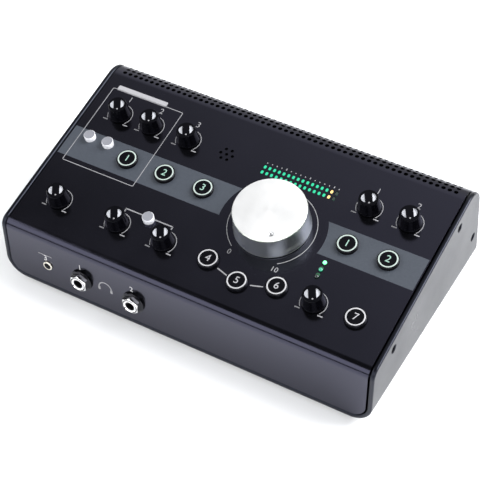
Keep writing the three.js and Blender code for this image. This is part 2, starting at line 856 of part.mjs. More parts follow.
// Control board: hangs under the slope on posts and carries pots, switches and status lamps
function controlBoard() {
  const wide = width - 2 * (wall + seam + sheet + board.sideGap);
  const rearEdge = slopeLength - board.rearGap;
  const tall = rearEdge - board.frontGap;
  const middle = (rearEdge + board.frontGap) / 2;
  const top = -board.below;
  const plate = prism(rectangle(wide, tall, board.corner), top - board.thick, top);
  plate.translate(0, middle, 0);
  const root = top - board.thick / 2;
  const standing = (shape, height) => ({ x, y }) => prism(shape, root, height).translate(x, y, 0);
  const besideButton = buttonPlaces.mono_button.x - button.flangeRadius - post.clearance - post.radius;
  const columns = [post.fromSide - width / 2, besideButton, width / 2 - post.fromSide];
  const postRows = [post.fromFront, slopeLength - post.fromRear];
  const postPlaces = columns.flatMap((x) => postRows.map((y) => ({ x, y })));
  const pillar = (radius, height, sides) => ({ x, y }) => {
    return rod(radius, root, height, sides).translate(x, y, 0);
  };
  const posts = postPlaces.map(pillar(post.radius, -sheet - seat, post.sides));
  const potSquare = rectangle(potBody.side, potBody.side);
  const pots = Object.values(knobPlaces).map(standing(potSquare, -potBody.top));
  const volumeBody = standing(rectangle(volumePot.side, volumePot.side), -sheet - seat)(volumePlace);
  const bush = pillar(volumePot.bushRadius, volumePot.bushTop, volumePot.sides)(volumePlace);
  const buttonFloor = -sheet - seat - button.flangeThick - button.travel - seat;
  const switchSquare = rectangle(switchBody.side, switchBody.side);
  const switches = Object.values(buttonPlaces).map(standing(switchSquare, buttonFloor));
  const pushFloor = -push.below - push.travel - seat;
  const pushSquare = rectangle(switchBody.pushSide, switchBody.pushSide);
  const latches = Object.values(pushPlaces).map(standing(pushSquare, pushFloor));
  const lamps = lampPlaces.map(pillar(lamp.radius, lamp.rise, lamp.sides));
  const parts = [plate, ...posts, ...pots, volumeBody, bush, ...switches, ...latches, ...lamps];
  const wellRadius = (shaft.radius + volumePot.play) / Math.cos(Math.PI / volumePot.wellSides);
  const [wellFloor, wellTop] = [-sheet - volumePot.sink, volumePot.bushTop + overrun];
  const well = rod(wellRadius, wellFloor, wellTop, volumePot.wellSides);
  well.translate(volumePlace.x, volumePlace.y, 0);
  return toGeometry(cut(join(...parts), [well]));
}

function connectorPlate() {
  const wide = width - 2 * (wall + seam + sheet + connectorBoard.sideGap);
  const back = -bodyBack - seat;
  return block(wide, connectorBoard.tall, back - connectorBoard.thick, back, 0, connectorBoard.up);
}

// Headphone socket and its collared nut
function headphoneJack() {
  const back = -sheet - seat - headphone.deep;
  const body = block(headphone.bodyWide, headphone.bodyTall, back, -sheet - seat);
  const nose = rod(headphone.noseRadius, -sheet - overrun, headphone.noseFront);
  const bore = rod(jackBore, back + sheet, headphone.noseFront + overrun);
  return toGeometry(cut(join(body, nose), [bore]));
}

function headphoneNutBody() {
  const { front, chamfer, collarRadius, collarThick, acrossFlats } = headphoneNut;
  const hex = toSolid(prism(hexagon(acrossFlats), collarThick / 2, front));
  const cornerReach = acrossFlats / 2 / Math.cos(Math.PI / hexSides);
  const cone = toSolid(revolve([
    [0, 0],
    [cornerReach + chamfer, 0],
    [cornerReach + chamfer, front - 2 * chamfer],
    [acrossFlats / 2 - chamfer / 2, front],
    [0, front],
  ], headphoneNut.sides));
  const collar = toSolid(rod(collarRadius, seat, collarThick, headphoneNut.sides));
  const whole = hex.intersect(cone).add(collar);
  const bore = rod(headphone.noseRadius + seat, -overrun, front + overrun, socketSides);
  return toGeometry(cut(whole, [bore]));
}

function smallJack() {
  const back = -sheet - seat - auxJack.deep;
  const body = block(auxJack.bodyWide, auxJack.bodyTall, back, -sheet - seat);
  const nose = rod(auxJack.noseRadius, -sheet - overrun, seat + auxJack.ringThick);
  const ring = rod(auxJack.ringRadius, seat, seat + auxJack.ringThick);
  const bore = rod(auxJack.bore, back + sheet, seat + auxJack.ringThick + overrun, smallSides);
  return toGeometry(cut(join(body, nose, ring), [bore]));
}

// Rear line socket with its nut
function lineSocket() {
  const back = -bodyBack;
  const body = block(lineJack.body, lineJack.body, back, -sheet - seat);
  const nose = rod(lineJack.noseRadius, -sheet - overrun, lineJack.noseFront);
  const nut = prism(hexagon(lineJack.nutFlats), seat, seat + lineJack.nutThick);
  const bore = rod(jackBore, back + sheet, lineJack.noseFront + overrun);
  return toGeometry(cut(join(body, nose, nut), [bore]));
}

// Combination socket: a ring groove and three pin holes round a quarter inch bore
function comboSocket() {
  const front = seat + combo.plateThick;
  const outline = rectangle(combo.plateWide, combo.plateTall, combo.plateCorner);
  const plate = prism(outline, seat, front, combo.plateSteps);
  const barrel = rod(combo.barrelRadius, -bodyBack, front, combo.sides);
  const floor = front - combo.grooveDeep;
  const groove = toSolid(rod(combo.grooveOuter, floor, front + overrun, combo.sides));
  const core = toSolid(rod(combo.grooveInner, floor - overrun, front + 2 * overrun, combo.sides));
  const pins = Array.from({ length: combo.pins }, (_, i) => {
    const angle = rad((i - 1) * combo.pinSpread) - Math.PI / 2;
    const hole = rod(combo.pinRadius, floor, front + overrun, combo.pinSides);
    return hole.translate(combo.pinFromAxis * Math.cos(angle), combo.pinFromAxis * Math.sin(angle), 0);
  });
  const bore = rod(jackBore, sheet - bodyBack, front + overrun, socketSides);
  const body = join(plate, barrel).subtract(groove.subtract(core));
  return toGeometry(cut(body, [bore, ...pins]));
}

function usbPort() {
  const body = toSolid(block(usb.wide, usb.tall, -bodyBack, usb.front));
  const floor = usb.front - usb.openDeep;
  const cavity = toSolid(block(usb.openWide, usb.openTall, floor, usb.front + overrun));
  const tongueTop = usb.front - usb.tongueShort;
  const tongue = toSolid(block(usb.tongueWide, usb.tongueTall, floor - overrun, tongueTop));
  return toGeometry(body.subtract(cavity.subtract(tongue)));
}

function powerInlet() {
  const body = block(inlet.bodyWide, inlet.bodyTall, -bodyBack, -sheet - seat);
  const nose = rod(inlet.noseRadius, -sheet - overrun, inlet.front);
  const bore = toSolid(rod(inlet.bore, inlet.front - inlet.boreDeep, inlet.front + overrun));
  const floor = inlet.front - inlet.boreDeep - overrun;
  const pin = toSolid(rod(inlet.pinRadius, floor, inlet.front - inlet.pinShort, smallSides));
  return toGeometry(join(body, nose).subtract(bore.subtract(pin)));
}

// Power switch: a framed well and the rocker that tips in it
function switchHousing() {
  const front = seat + rocker.plateThick;
  const plate = block(rocker.plateWide, rocker.plateTall, seat, front);
  const body = block(rocker.bodyWide, rocker.bodyTall, -bodyBack, front);
  const well = block(rocker.openWide, rocker.openTall, front - rocker.openDeep, front + overrun);
  return toGeometry(cut(join(plate, body), [well]));
}

// Rocker cap about its pivot, tipped to the on position
function rockerCap() {
  const [y, rise, drop] = [rocker.capTall / 2, rocker.capRise, rocker.capDrop];
  const points = [
    [-y, rise],
    [-y, 0],
    [-y / 2, -drop],
    [y / 2, -drop],
    [y, 0],
    [y, rise],
    [0, rocker.capValley],
  ];
  const shape = new THREE.Shape(points.map(([a, b]) => new THREE.Vector2(a, b)));
  const cap = prism(shape, -rocker.capWide / 2, rocker.capWide / 2);
  return cap.rotateX(Math.PI / 2).rotateZ(Math.PI / 2).rotateX(rad(rocker.tilt));
}

// Assembly
function piece(name, geometry, finishName, x = 0, y = 0, z = 0) {
  const mesh = new THREE.Mesh(geometry, finish(finishName));
  mesh.name = name;
  mesh.position.set(x, y, z);
  return mesh;
}

function face(frame, ...meshes) {
  const group = new THREE.Group();
  group.applyMatrix4(frame);
  group.add(...meshes);
  return group;
}

function rotaryControls() {
  const knobGeometry = smallKnob();
  const shaftGeometry = dShaft(seat - potBody.top, knob.boreTop - seat);
  const turned = (mesh) => {
    mesh.rotation.z = -rad(turnLimit);
    return mesh;
  };
  const small = Object.entries(knobPlaces).flatMap(([name, { x, y }]) => [
    turned(piece(name, knobGeometry, "gloss", x, y)),
    turned(piece(name.replace("knob", "shaft"), shaftGeometry, "steel", x, y)),
  ]);
  const { x, y } = volumePlace;
  const volumeShaft = dShaft(seat - sheet - volumePot.sink, volume.boreTop - seat);
  return [
    ...small,
    turned(piece("volume_knob", volumeKnob(), "aluminium", x, y)),
    turned(piece("volume_shaft", volumeShaft, "steel", x, y)),
  ];
}

function pressedControls() {
  const round = roundButton();
  const latch = pushButton();
  return [
    ...Object.entries(buttonPlaces).map(([name, { x, y }]) => piece(name, round, "gloss", x, y)),
    ...Object.entries(pushPlaces).map(([name, { x, y }]) => piece(name, latch, "cap", x, y)),
  ];
}

function feet() {
  const xs = [foot.fromSide - width / 2, width / 2 - foot.fromSide];
  const ys = [foot.fromFront, depth - foot.fromRear];
  const places = ys.flatMap((y) => xs.map((x) => [x, y]));
  const lay = ([x, y], i) => piece(`rubber_foot_${i + 1}`, rubberFoot(), "rubber", x, y, -foot.height);
  return places.map(lay);
}

function frontSockets() {
  const { aux, headphones } = frontPlaces;
  const jack = (x, i) => piece(`headphone_jack_${i + 1}`, headphoneJack(), "plastic", x, headphone.up);
  const nut = (x, i) => piece(`headphone_nut_${i + 1}`, headphoneNutBody(), "chrome", x, headphone.up);
  return [
    piece("small_input_jack", smallJack(), "chrome", aux, headphone.up),
    ...headphones.map(jack),
    ...headphones.map(nut),
  ];
}

function rearSockets() {
  const { outs, lines, combos, power, inlet: dc, usb: data } = rearPlaces;
  const pivot = seat + rocker.plateThick - rocker.pivotSunk;
  return [
    ...outs.map(({ x, y }, i) => piece(`monitor_out_jack_${i + 1}`, lineSocket(), "plastic", x, y)),
    ...lines.map(({ x, y }, i) => piece(`line_in_jack_${i + 1}`, lineSocket(), "plastic", x, y)),
    ...combos.map(({ x, y }, i) => piece(`combo_jack_${i + 1}`, comboSocket(), "plastic", x, y)),
    piece("usb_port", usbPort(), "steel", data.x, data.y),
    piece("power_inlet", powerInlet(), "plastic", dc.x, dc.y),
    piece("power_switch_housing", switchHousing(), "plastic", power.x, power.y),
    piece("power_switch_rocker", rockerCap(), "gloss", power.x, power.y, pivot),
    piece("connector_board", connectorPlate(), "circuit"),
  ];
}

const instrument = new THREE.Group();
instrument.add(
  piece("base_shell", baseShell(), "case"),
  piece("top_cover", topCover(), "cover"),
  ...feet(),
  face(rearFrame, piece("rear_panel", rearPanel(), "cover"), ...rearSockets()),
  face(frontFrame, ...frontSockets()),
  face(
    panelFrame,
    piece("control_board", controlBoard(), "circuit"),
    piece("meter_light_guide", meterGuide(), "lens"),
    piece("mic_capsule", micCapsule(), "rubber", micPlace.x, micPlace.y),
    ...rotaryControls(),
    ...pressedControls(),
  ),
);

// Stand on the floor, centred front to back
instrument.updateMatrixWorld(true);
const bounds = new THREE.Box3().setFromObject(instrument, true);
instrument.position.set(0, -(bounds.min.y + bounds.max.y) / 2, foot.height);

const whole = new THREE.Group();
whole.add(instrument);

export default whole;
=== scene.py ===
"""Studio monitor controller on a pale studio floor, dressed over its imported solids.

Lengths in the classes and the frames of the faces are millimetres. They become metres where an
object is made or placed.
"""

import logging
import math
from dataclasses import dataclass
from enum import Enum
from functools import cache
from typing import Iterable, Sequence

import bmesh
import bpy
from mathutils import Euler, Matrix, Vector


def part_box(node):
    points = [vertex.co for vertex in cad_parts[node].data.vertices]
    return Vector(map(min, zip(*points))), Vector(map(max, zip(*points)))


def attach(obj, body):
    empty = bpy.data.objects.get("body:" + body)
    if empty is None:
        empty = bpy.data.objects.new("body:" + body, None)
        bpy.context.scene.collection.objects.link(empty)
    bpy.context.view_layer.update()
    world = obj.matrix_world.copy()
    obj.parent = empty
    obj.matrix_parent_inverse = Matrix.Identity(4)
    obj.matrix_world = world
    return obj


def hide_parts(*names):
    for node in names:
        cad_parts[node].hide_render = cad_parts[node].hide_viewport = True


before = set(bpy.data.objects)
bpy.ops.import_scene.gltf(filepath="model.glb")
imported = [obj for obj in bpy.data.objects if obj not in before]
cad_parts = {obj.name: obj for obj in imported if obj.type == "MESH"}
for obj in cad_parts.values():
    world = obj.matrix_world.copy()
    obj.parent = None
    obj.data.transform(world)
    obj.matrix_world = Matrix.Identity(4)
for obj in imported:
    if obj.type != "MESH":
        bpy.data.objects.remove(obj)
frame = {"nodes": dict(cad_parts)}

log = logging.getLogger("monitor_controller")

MM = 0.001
TOUCH = 0.001
SHARP = 32
CASE = "case"
Point = tuple[float, float]
Outline = list[Point]
Colour = tuple[float, float, float]
Piece = bpy.types.Object
Material = bpy.types.Material
Socket = bpy.types.NodeSocket


# Outlines and profiles


def polar(radius: float, degrees: float) -> Point:
    """The point at a distance and a direction from the origin."""
    a = math.radians(degrees)
    return radius * math.cos(a), radius * math.sin(a)


def arc(centre: Point, radius: float, start: float, end: float, steps: int) -> Outline:
    """Points on an arc.

    Args:
        centre: Centre of the arc.
        radius: Its radius.
        start: First angle in degrees.
        end: Last angle in degrees.
        steps: Number of straight steps.

    Returns:
        The points, both ends included.
    """
    spots = (polar(radius, start + (end - start) * i / steps) for i in range(steps + 1))
    return [(centre[0] + x, centre[1] + y) for x, y in spots]


def rounded_rectangle(wide: float, tall: float, radius: float, steps: int = 6) -> Outline:
    """Outline of a rectangle with round corners, counter-clockwise about the origin.

    Args:
        wide: Width.
        tall: Height.
        radius: Radius of the corners.
        steps: Steps in each corner.

    Returns:
        The outline.
    """
    x, y = wide / 2 - radius, tall / 2 - radius
    corners = enumerate(((x, y), (-x, y), (-x, -y), (x, -y)))
    return [spot for k, at in corners for spot in arc(at, radius, 90 * k, 90 * k + 90, steps)]


def plate(wide: float, tall: float) -> Outline:
    """Outline of a rectangle with sharp corners, counter-clockwise about the origin."""
    x, y = wide / 2, tall / 2
    return [(-x, -y), (x, -y), (x, y), (-x, y)]


def hexagon(across_flats: float) -> Outline:
    """Outline of a regular hexagon with two corners on the X = 0 line."""
    return arc((0, 0), hexagon_reach(across_flats), 30, 330, 5)


def hexagon_reach(across_flats: float) -> float:
    """Distance from the middle of a hexagon to its corners."""
    return across_flats / 2 / math.cos(math.pi / 6)


def channel(half_wide: float, low: float, high: float, radius: float, steps: int = 20) -> Outline:
    """Outline of an upright rectangle with its two lower corners round, counter-clockwise.

    Args:
        half_wide: Half the width.
        low: Height of the lower edge.
        high: Height of the upper edge.
        radius: Radius of the lower corners.
        steps: Steps in each corner.

    Returns:
        The outline.
    """
    x = half_wide - radius
    left = arc((-x, low + radius), radius, 180, 270, steps)
    return [(half_wide, high), (-half_wide, high), *left, *arc((x, low + radius), radius, 270, 360, steps)]


def rod(radius: float, low: float, high: float) -> Outline:
    """Profile of a plain cylinder."""
    return [(0, low), (radius, low), (radius, high), (0, high)]


def tube(inner: float, outer: float, low: float, high: float) -> Outline:
    """Closed profile of a plain ring."""
    return [(inner, low), (outer, low), (outer, high), (inner, high)]


def fillet(before: Vector, corner: Vector, after: Vector, radius: float, steps: int) -> Outline:
    """Points of the arc that rounds a corner between two straight lines.

    Args:
        before: A point on the line that comes in.
        corner: The corner.
        after: A point on the line that goes out.
        radius: Radius of the arc.
        steps: Number of straight steps.

    Returns:
        The points, both ends included.
    """
    back, ahead = (before - corner).normalized(), (after - corner).normalized()
    half = back.angle(ahead) / 2
    centre = corner + (back + ahead).normalized() * (radius / math.sin(half))
    ends = [corner + way * (radius / math.tan(half)) - centre for way in (back, ahead)]
    a, b = (math.degrees(math.atan2(end.y, end.x)) for end in ends)
    if b - a > 180:
        b -= 360
    if a - b > 180:
        b += 360
    return arc(tuple(centre), radius, a, b, steps)


def soften(profile: Outline, radius: float, steps: int = 3) -> Outline:
    """Rounds the inner corners of an open profile.

    Args:
        profile: Radius and height pairs.
        radius: Rounding radius, reduced where a stretch is short.
        steps: Steps in each rounding.

    Returns:
        The rounded profile.
    """
    out: Outline = [profile[0]]
    for a, b, c in zip(*(map(Vector, profile[k:]) for k in range(3))):
        back, ahead = a - b, c - b
        reach = min(radius, back.length * 0.45, ahead.length * 0.45)
        p, q = b + back.normalized() * reach, b + ahead.normalized() * reach
        for t in (i / steps for i in range(steps + 1)):
            out.append(tuple(p * (1 - t) ** 2 + b * 2 * t * (1 - t) + q * t**2))
    return [*out, profile[-1]]


# Making and working meshes


def add_object(name: str, data: bpy.types.ID) -> Piece:
    """Makes an object of its data and links it to the scene.

    Args:
        name: Name of the object.
        data: Its mesh, curve, camera or light.

    Returns:
        The object.
    """
    made = bpy.data.objects.new(name, data)
    bpy.context.scene.collection.objects.link(made)
    return made


def smooth(bm: bmesh.types.BMesh, sharp: float) -> None:
    """Shades all faces smooth and keeps the edges sharp that turn by more than an angle in degrees.

    Args:
        bm: The mesh that is shaded.
        sharp: The angle.
    """
    for face in bm.faces:
        face.smooth = True
    for edge in bm.edges:
        edge.smooth = len(edge.link_faces) == 2 and edge.calc_face_angle(0.0) < math.radians(sharp)


def bevel(bm: bmesh.types.BMesh, rims: list[bmesh.types.BMEdge], width: float, steps: int) -> None:
    """Rounds some edges by a width."""
    how = {"affect": "EDGES", "profile": 0.5, "clamp_overlap": True}
    bmesh.ops.bevel(bm, geom=rims, offset=width, segments=steps, **how)


class Mould:
    """Collects closed forms in millimetres and turns them into one object."""

    def __init__(self) -> None:
        """Starts empty."""
        self.bm = bmesh.new()

    def lathe(
        self, profile: Outline, segments: int = 64, finish: int = 0, at: Point = (0, 0), closed: bool = False
    ) -> "Mould":
        """Adds a form turned about the local Z axis.

        Args:
            profile: Radius and height pairs, from axis to axis, or a loop if closed.
            segments: Number of sides.
            finish: Index of the finish.
            at: Place of the axis.
            closed: True where the profile is a loop off the axis.

        Returns:
            This mould.
        """
        rings = []
        for radius, height in profile:
            count = segments if radius > 0 else 1
            spots = (polar(radius, 360 * i / count) for i in range(count))
            rings.append([self.bm.verts.new((at[0] + x, at[1] + y, height)) for x, y in spots])
        for low, high in zip(rings, rings[1:] + rings[:closed]):
            for i in range(segments):
                j = (i + 1) % segments
                loop = (low[i % len(low)], low[j % len(low)], high[j % len(high)], high[i % len(high)])
                corners = list(dict.fromkeys(loop))
                if len(corners) > 2:
                    self.bm.faces.new(corners).material_index = finish
        return self

    def prism(
        self,
        outline: Outline,
        low: float,
        high: float,
        finish: int = 0,
        at: Point = (0, 0),
        edge: float = 0.0,
    ) -> "Mould":
        """Adds an outline drawn out along local Z.

        Args:
            outline: Points, counter-clockwise.
            low: Height of the lower face.
            high: Height of the upper face.
            finish: Index of the finish.
            at: Shift of the outline.
            edge: Width of a small round edge, 0 for a sharp one.

        Returns:
            This mould.
        """
        a, b = ([self.bm.verts.new((x + at[0], y + at[1], z)) for x, y in outline] for z in (low, high))
        sides = zip(a, a[1:] + a[:1], b[1:] + b[:1], b)
        faces = [self.bm.faces.new(loop) for loop in (a[::-1], b, *sides)]
        for face in faces:
            face.material_index = finish
        if edge > 0:
            bevel(self.bm, list(dict.fromkeys(e for face in faces[:2] for e in face.edges)), edge, 2)
        return self

    def take(self, other: "Mould") -> "Mould":
        """Adds all that another mould holds, which is used up.

        Args:
            other: The mould that is used up.

        Returns:
            This mould.
        """
        spare = bpy.data.meshes.new("spare")
        other.bm.to_mesh(spare)
        other.bm.free()
        self.bm.from_mesh(spare)
        bpy.data.meshes.remove(spare)
        return self

    def move(self, matrix: Matrix) -> "Mould":
        """Moves all that it holds so far."""
        bmesh.ops.transform(self.bm, matrix=matrix, verts=self.bm.verts)
        return self

    def weld(self) -> "Mould":
        """Joins the ends of turned skins that meet."""
        bmesh.ops.remove_doubles(self.bm, verts=self.bm.verts, dist=TOUCH)
        return self

    def cast(self, name: str, *paints: Material) -> Piece:
        """Makes the object in metres, with materials in the order of their indices.

        Args:
            name: Name of the object.
            paints: Its materials.

        Returns:
            The object.
        """
        bmesh.ops.recalc_face_normals(self.bm, faces=self.bm.faces)
        smooth(self.bm, SHARP)
        bmesh.ops.scale(self.bm, vec=(MM, MM, MM), verts=self.bm.verts)
        mesh = bpy.data.meshes.new(name)
        self.bm.to_mesh(mesh)
        self.bm.free()
        for paint in paints:
            mesh.materials.append(paint)
        return add_object(name, mesh)


class Carving(Enum):
    """Ways of working one form with another."""

    CUT = "DIFFERENCE"
    JOIN = "UNION"
    KEEP = "INTERSECT"


def settle(piece: Piece) -> None:
    """Makes what the modifiers show the object's own mesh.

    Args:
        piece: The object.
    """
    graph = bpy.context.evaluated_depsgraph_get()
    mesh = bpy.data.meshes.new_from_object(piece.evaluated_get(graph))
    piece.modifiers.clear()
    old, piece.data = piece.data, mesh
    bpy.data.meshes.remove(old)


def carve(piece: Piece, tool: Mould | Piece, way: Carving = Carving.CUT) -> None:
    """Works one object with another form, which is used up.

    Args:
        piece: The object that stays, with every material that the form's indices need.
        tool: The form taken away from it, added to it or kept in common.
        way: Which of the three.
    """
    cutter = tool.cast("cutter", *piece.data.materials) if isinstance(tool, Mould) else tool
    step = piece.modifiers.new("carve", "BOOLEAN")
    step.object = cutter
    step.operation = way.value
    step.solver = "MANIFOLD"
    step.material_mode = "INDEX"
    settle(piece)
    bpy.data.objects.remove(cutter)


def crease(piece: Piece, sharp: float = SHARP, edge: float = 0.0, steps: int = 2) -> None:
    """Rounds the sharp edges a little and sets smooth shading again.

    Args:
        piece: The object.
        sharp: Angle in degrees above which an edge counts as sharp.
        edge: Width of the rounding in millimetres, 0 for none.
        steps: Steps of the rounding.
    """
    bm = bmesh.new()
    bm.from_mesh(piece.data)
    bmesh.ops.remove_doubles(bm, verts=bm.verts, dist=TOUCH * MM)
    bmesh.ops.dissolve_degenerate(bm, dist=TOUCH * MM, edges=bm.edges)
    if edge > 0:
        limit = math.radians(sharp)
        rims = [e for e in bm.edges if len(e.link_faces) == 2 and e.calc_face_angle(0.0) > limit]
        bevel(bm, rims, edge * MM, steps)
    smooth(bm, sharp)
    bm.to_mesh(piece.data)
    bm.free()


def level(piece: Piece) -> None:
    """Lets the large faces keep their own direction where they meet narrow ones.

    Args:
        piece: The object.
    """
    step = piece.modifiers.new("level", "WEIGHTED_NORMAL")
    step.keep_sharp = True
    step.weight = 100
    settle(piece)


def recess(piece: Piece, turn: float, long: float, wide: float, low: float, high: float) -> None:
    """Cuts the cross recess of a screw.

    Args:
        piece: The screw.
        turn: Direction of one slot in degrees.
        long: Length of the slots.
        wide: Width of the slots.
        low: Height of their floor.
        high: A height above the head.
    """
    for k in (0, 90):
        slot = Mould().prism(plate(long, wide), low, high)
        carve(piece, slot.move(Matrix.Rotation(math.radians(turn + k), 4, "Z")))
    crease(piece)


def seat(piece: Piece, place: Matrix, slot: str, *stands_for: str, body: str = CASE) -> None:
    """Places a piece and lets it ride on its body.

    Args:
        piece: The object.
        place: Its place in the row frame, in metres.
        slot: Not used.
        stands_for: Nodes that it replaces.
        body: The body it rides on.
    """
    piece.matrix_world = place
    if stands_for:
        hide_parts(*stands_for)
    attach(piece, body)
    log.info("%s on %s, %d faces", piece.name, body, len(piece.data.polygons))


# Frames of the case


@cache
def node_box(node: str) -> tuple[Vector, Vector]:
    """Lowest and highest corner of a CAD node."""
    low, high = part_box(node)
    return low / MM, high / MM


def axes(x: Sequence[float], y: Sequence[float], origin: Sequence[float]) -> Matrix:
    """A frame from two of its directions and its origin.

    Args:
        x: Direction of X.
        y: Direction of Y.
        origin: Place of the origin.

    Returns:
        The frame.
    """
    rows = Matrix((x, y, Vector(x).cross(Vector(y)))).transposed().to_4x4()
    rows.translation = origin
    return rows


@dataclass(frozen=True)
class CaseFrames:
    """The faces of the case as frames: X across, Y up the face, Z out of it."""

    front_height: float = 50.4
    slope: float = 12.9
    lean: float = 9.7
    depth: float = 175.7
    panel_middle: float = 75.3
    front_bend: float = 7.5
    rear_bend: float = 18.5
    rear_seam: float = 20.0

    def spot(self, x: float = 0.0, y: float = 0.0, z: float = 0.0) -> Vector:
        """A place counted from the middle of the front face's lower edge."""
        return Vector((x, node_box("top_cover")[0].y + y, node_box("base_shell")[0].z + z))

    def corner(self) -> Vector:
        """Front top corner, where the slope starts."""
        return self.spot(z=self.front_height)

    def panel(self) -> Matrix:
        """Sloped control panel, origin at the middle of the panel."""
        up = Vector((0, *polar(1, self.slope)))
        return axes((1, 0, 0), up, self.corner() + up * self.panel_middle)

    def front(self) -> Matrix:
        """Front face, origin at the middle of its lower edge."""
        return axes((1, 0, 0), (0, 0, 1), self.spot())

    def rear(self) -> Matrix:
        """Rear panel, origin at the middle of its lower edge."""
        return axes((-1, 0, 0), (0, *polar(1, 90 + self.lean)), self.spot(y=self.depth))

    def across(self) -> Matrix:
        """Side view, X to the rear and Z across to the right."""
        return axes((0, 1, 0), (0, 0, 1), self.spot())

    def side(self, right: bool) -> Matrix:
        """Outer side face, origin at its lower front corner, X to the rear on the right side."""
        way = 1 if right else -1
        return axes((0, way, 0), (0, 0, 1), self.spot(x=way * node_box("base_shell")[1].x))

    def underside(self) -> Matrix:
        """Frame that looks down, for the feet, origin under the middle."""
        return axes((-1, 0, 0), (0, 1, 0), (0, 0, self.spot().z))

    def side_corners(self, inset: float, low: float) -> list[Vector]:
        """Corners of the side view, front foot, front top, rear top and rear foot.

        Args:
            inset: How far inside the outer faces.
            low: Height of both feet.

        Returns:
            The four corners, Y to the rear and Z up from the lower front corner.
        """
        s, a = math.radians(self.slope), math.radians(self.lean)
        start = self.front_height - inset / math.cos(s)
        foot = self.depth - inset / math.cos(a)
        top_y = (foot - start * math.tan(a)) / (1 + math.tan(s) * math.tan(a))
        return [
            Vector((inset, low)),
            Vector((inset, start + inset * math.tan(s))),
            Vector((top_y, start + top_y * math.tan(s))),
            Vector((foot - low * math.tan(a), low)),
        ]

    def side_line(self, inset: float, low: float, steps: int) -> Outline:
        """Side view from the front foot over both bends to the rear foot.

        Args:
            inset: How far inside the outer faces.
            low: Height of both feet.
            steps: Steps in the rear bend.

        Returns:
            The open outline.
        """
        foot, front, rear, end = self.side_corners(inset, low)
        return [
            tuple(foot),
            *fillet(foot, front, rear, self.front_bend - inset, steps // 2),
            *fillet(front, rear, end, self.rear_bend - inset, steps),
            fillet(front, rear, end, self.rear_seam - inset, 1)[-1],
            tuple(end),
        ]

    def rear_axis(self) -> Vector:
        """Axis of the rear bend in the side view.

        Returns:
            The axis, Y to the rear and Z up from the lower front corner.
        """
        _, front, rear, end = self.side_corners(0.0, 0.0)
        start = fillet(front, rear, end, self.rear_bend, 2)[0]
        return Vector(start) - Vector(polar(self.rear_bend, 90 + self.slope))

    @staticmethod
    def centre(node: str, face: Matrix) -> Vector:
        """Middle of a CAD node, in a face's frame.

        Args:
            node: Name of the node.
            face: Frame of the face.

        Returns:
            The middle of the node's box in that frame.
        """
        back = face.inverted()
        spots = [back @ (v.co / MM) for v in frame["nodes"][node].data.vertices]
        return Vector((min(p[i] for p in spots) + max(p[i] for p in spots)) / 2 for i in range(3))


FRAMES = CaseFrames()


def on_face(face: Matrix, x: float = 0.0, y: float = 0.0, z: float = 0.0, turn: float = 0.0) -> Matrix:
    """A place on a face.

    Args:
        face: The face's frame.
        x: Distance across.
        y: Distance up the face.
        z: Distance out of it.
        turn: Clockwise turn in degrees, seen from outside.

    Returns:
        The matrix in metres.
    """
    place = face @ Matrix.Translation((x, y, z)) @ Matrix.Rotation(-math.radians(turn), 4, "Z")
    place.translation = place.translation * MM
    return place


def at_node(node: str, face: Matrix, z: float = 0.0, turn: float = 0.0) -> Matrix:
    """The place on a face in front of a CAD node's middle."""
    middle = FRAMES.centre(node, face)
    return on_face(face, middle.x, middle.y, z, turn)


# Finishes


def find(sockets: Iterable[Socket], name: str) -> Socket:
    """The first socket of a name, which is written with _ for a space."""
    return next(s for s in sockets if s.name.lower() == name.replace("_", " "))


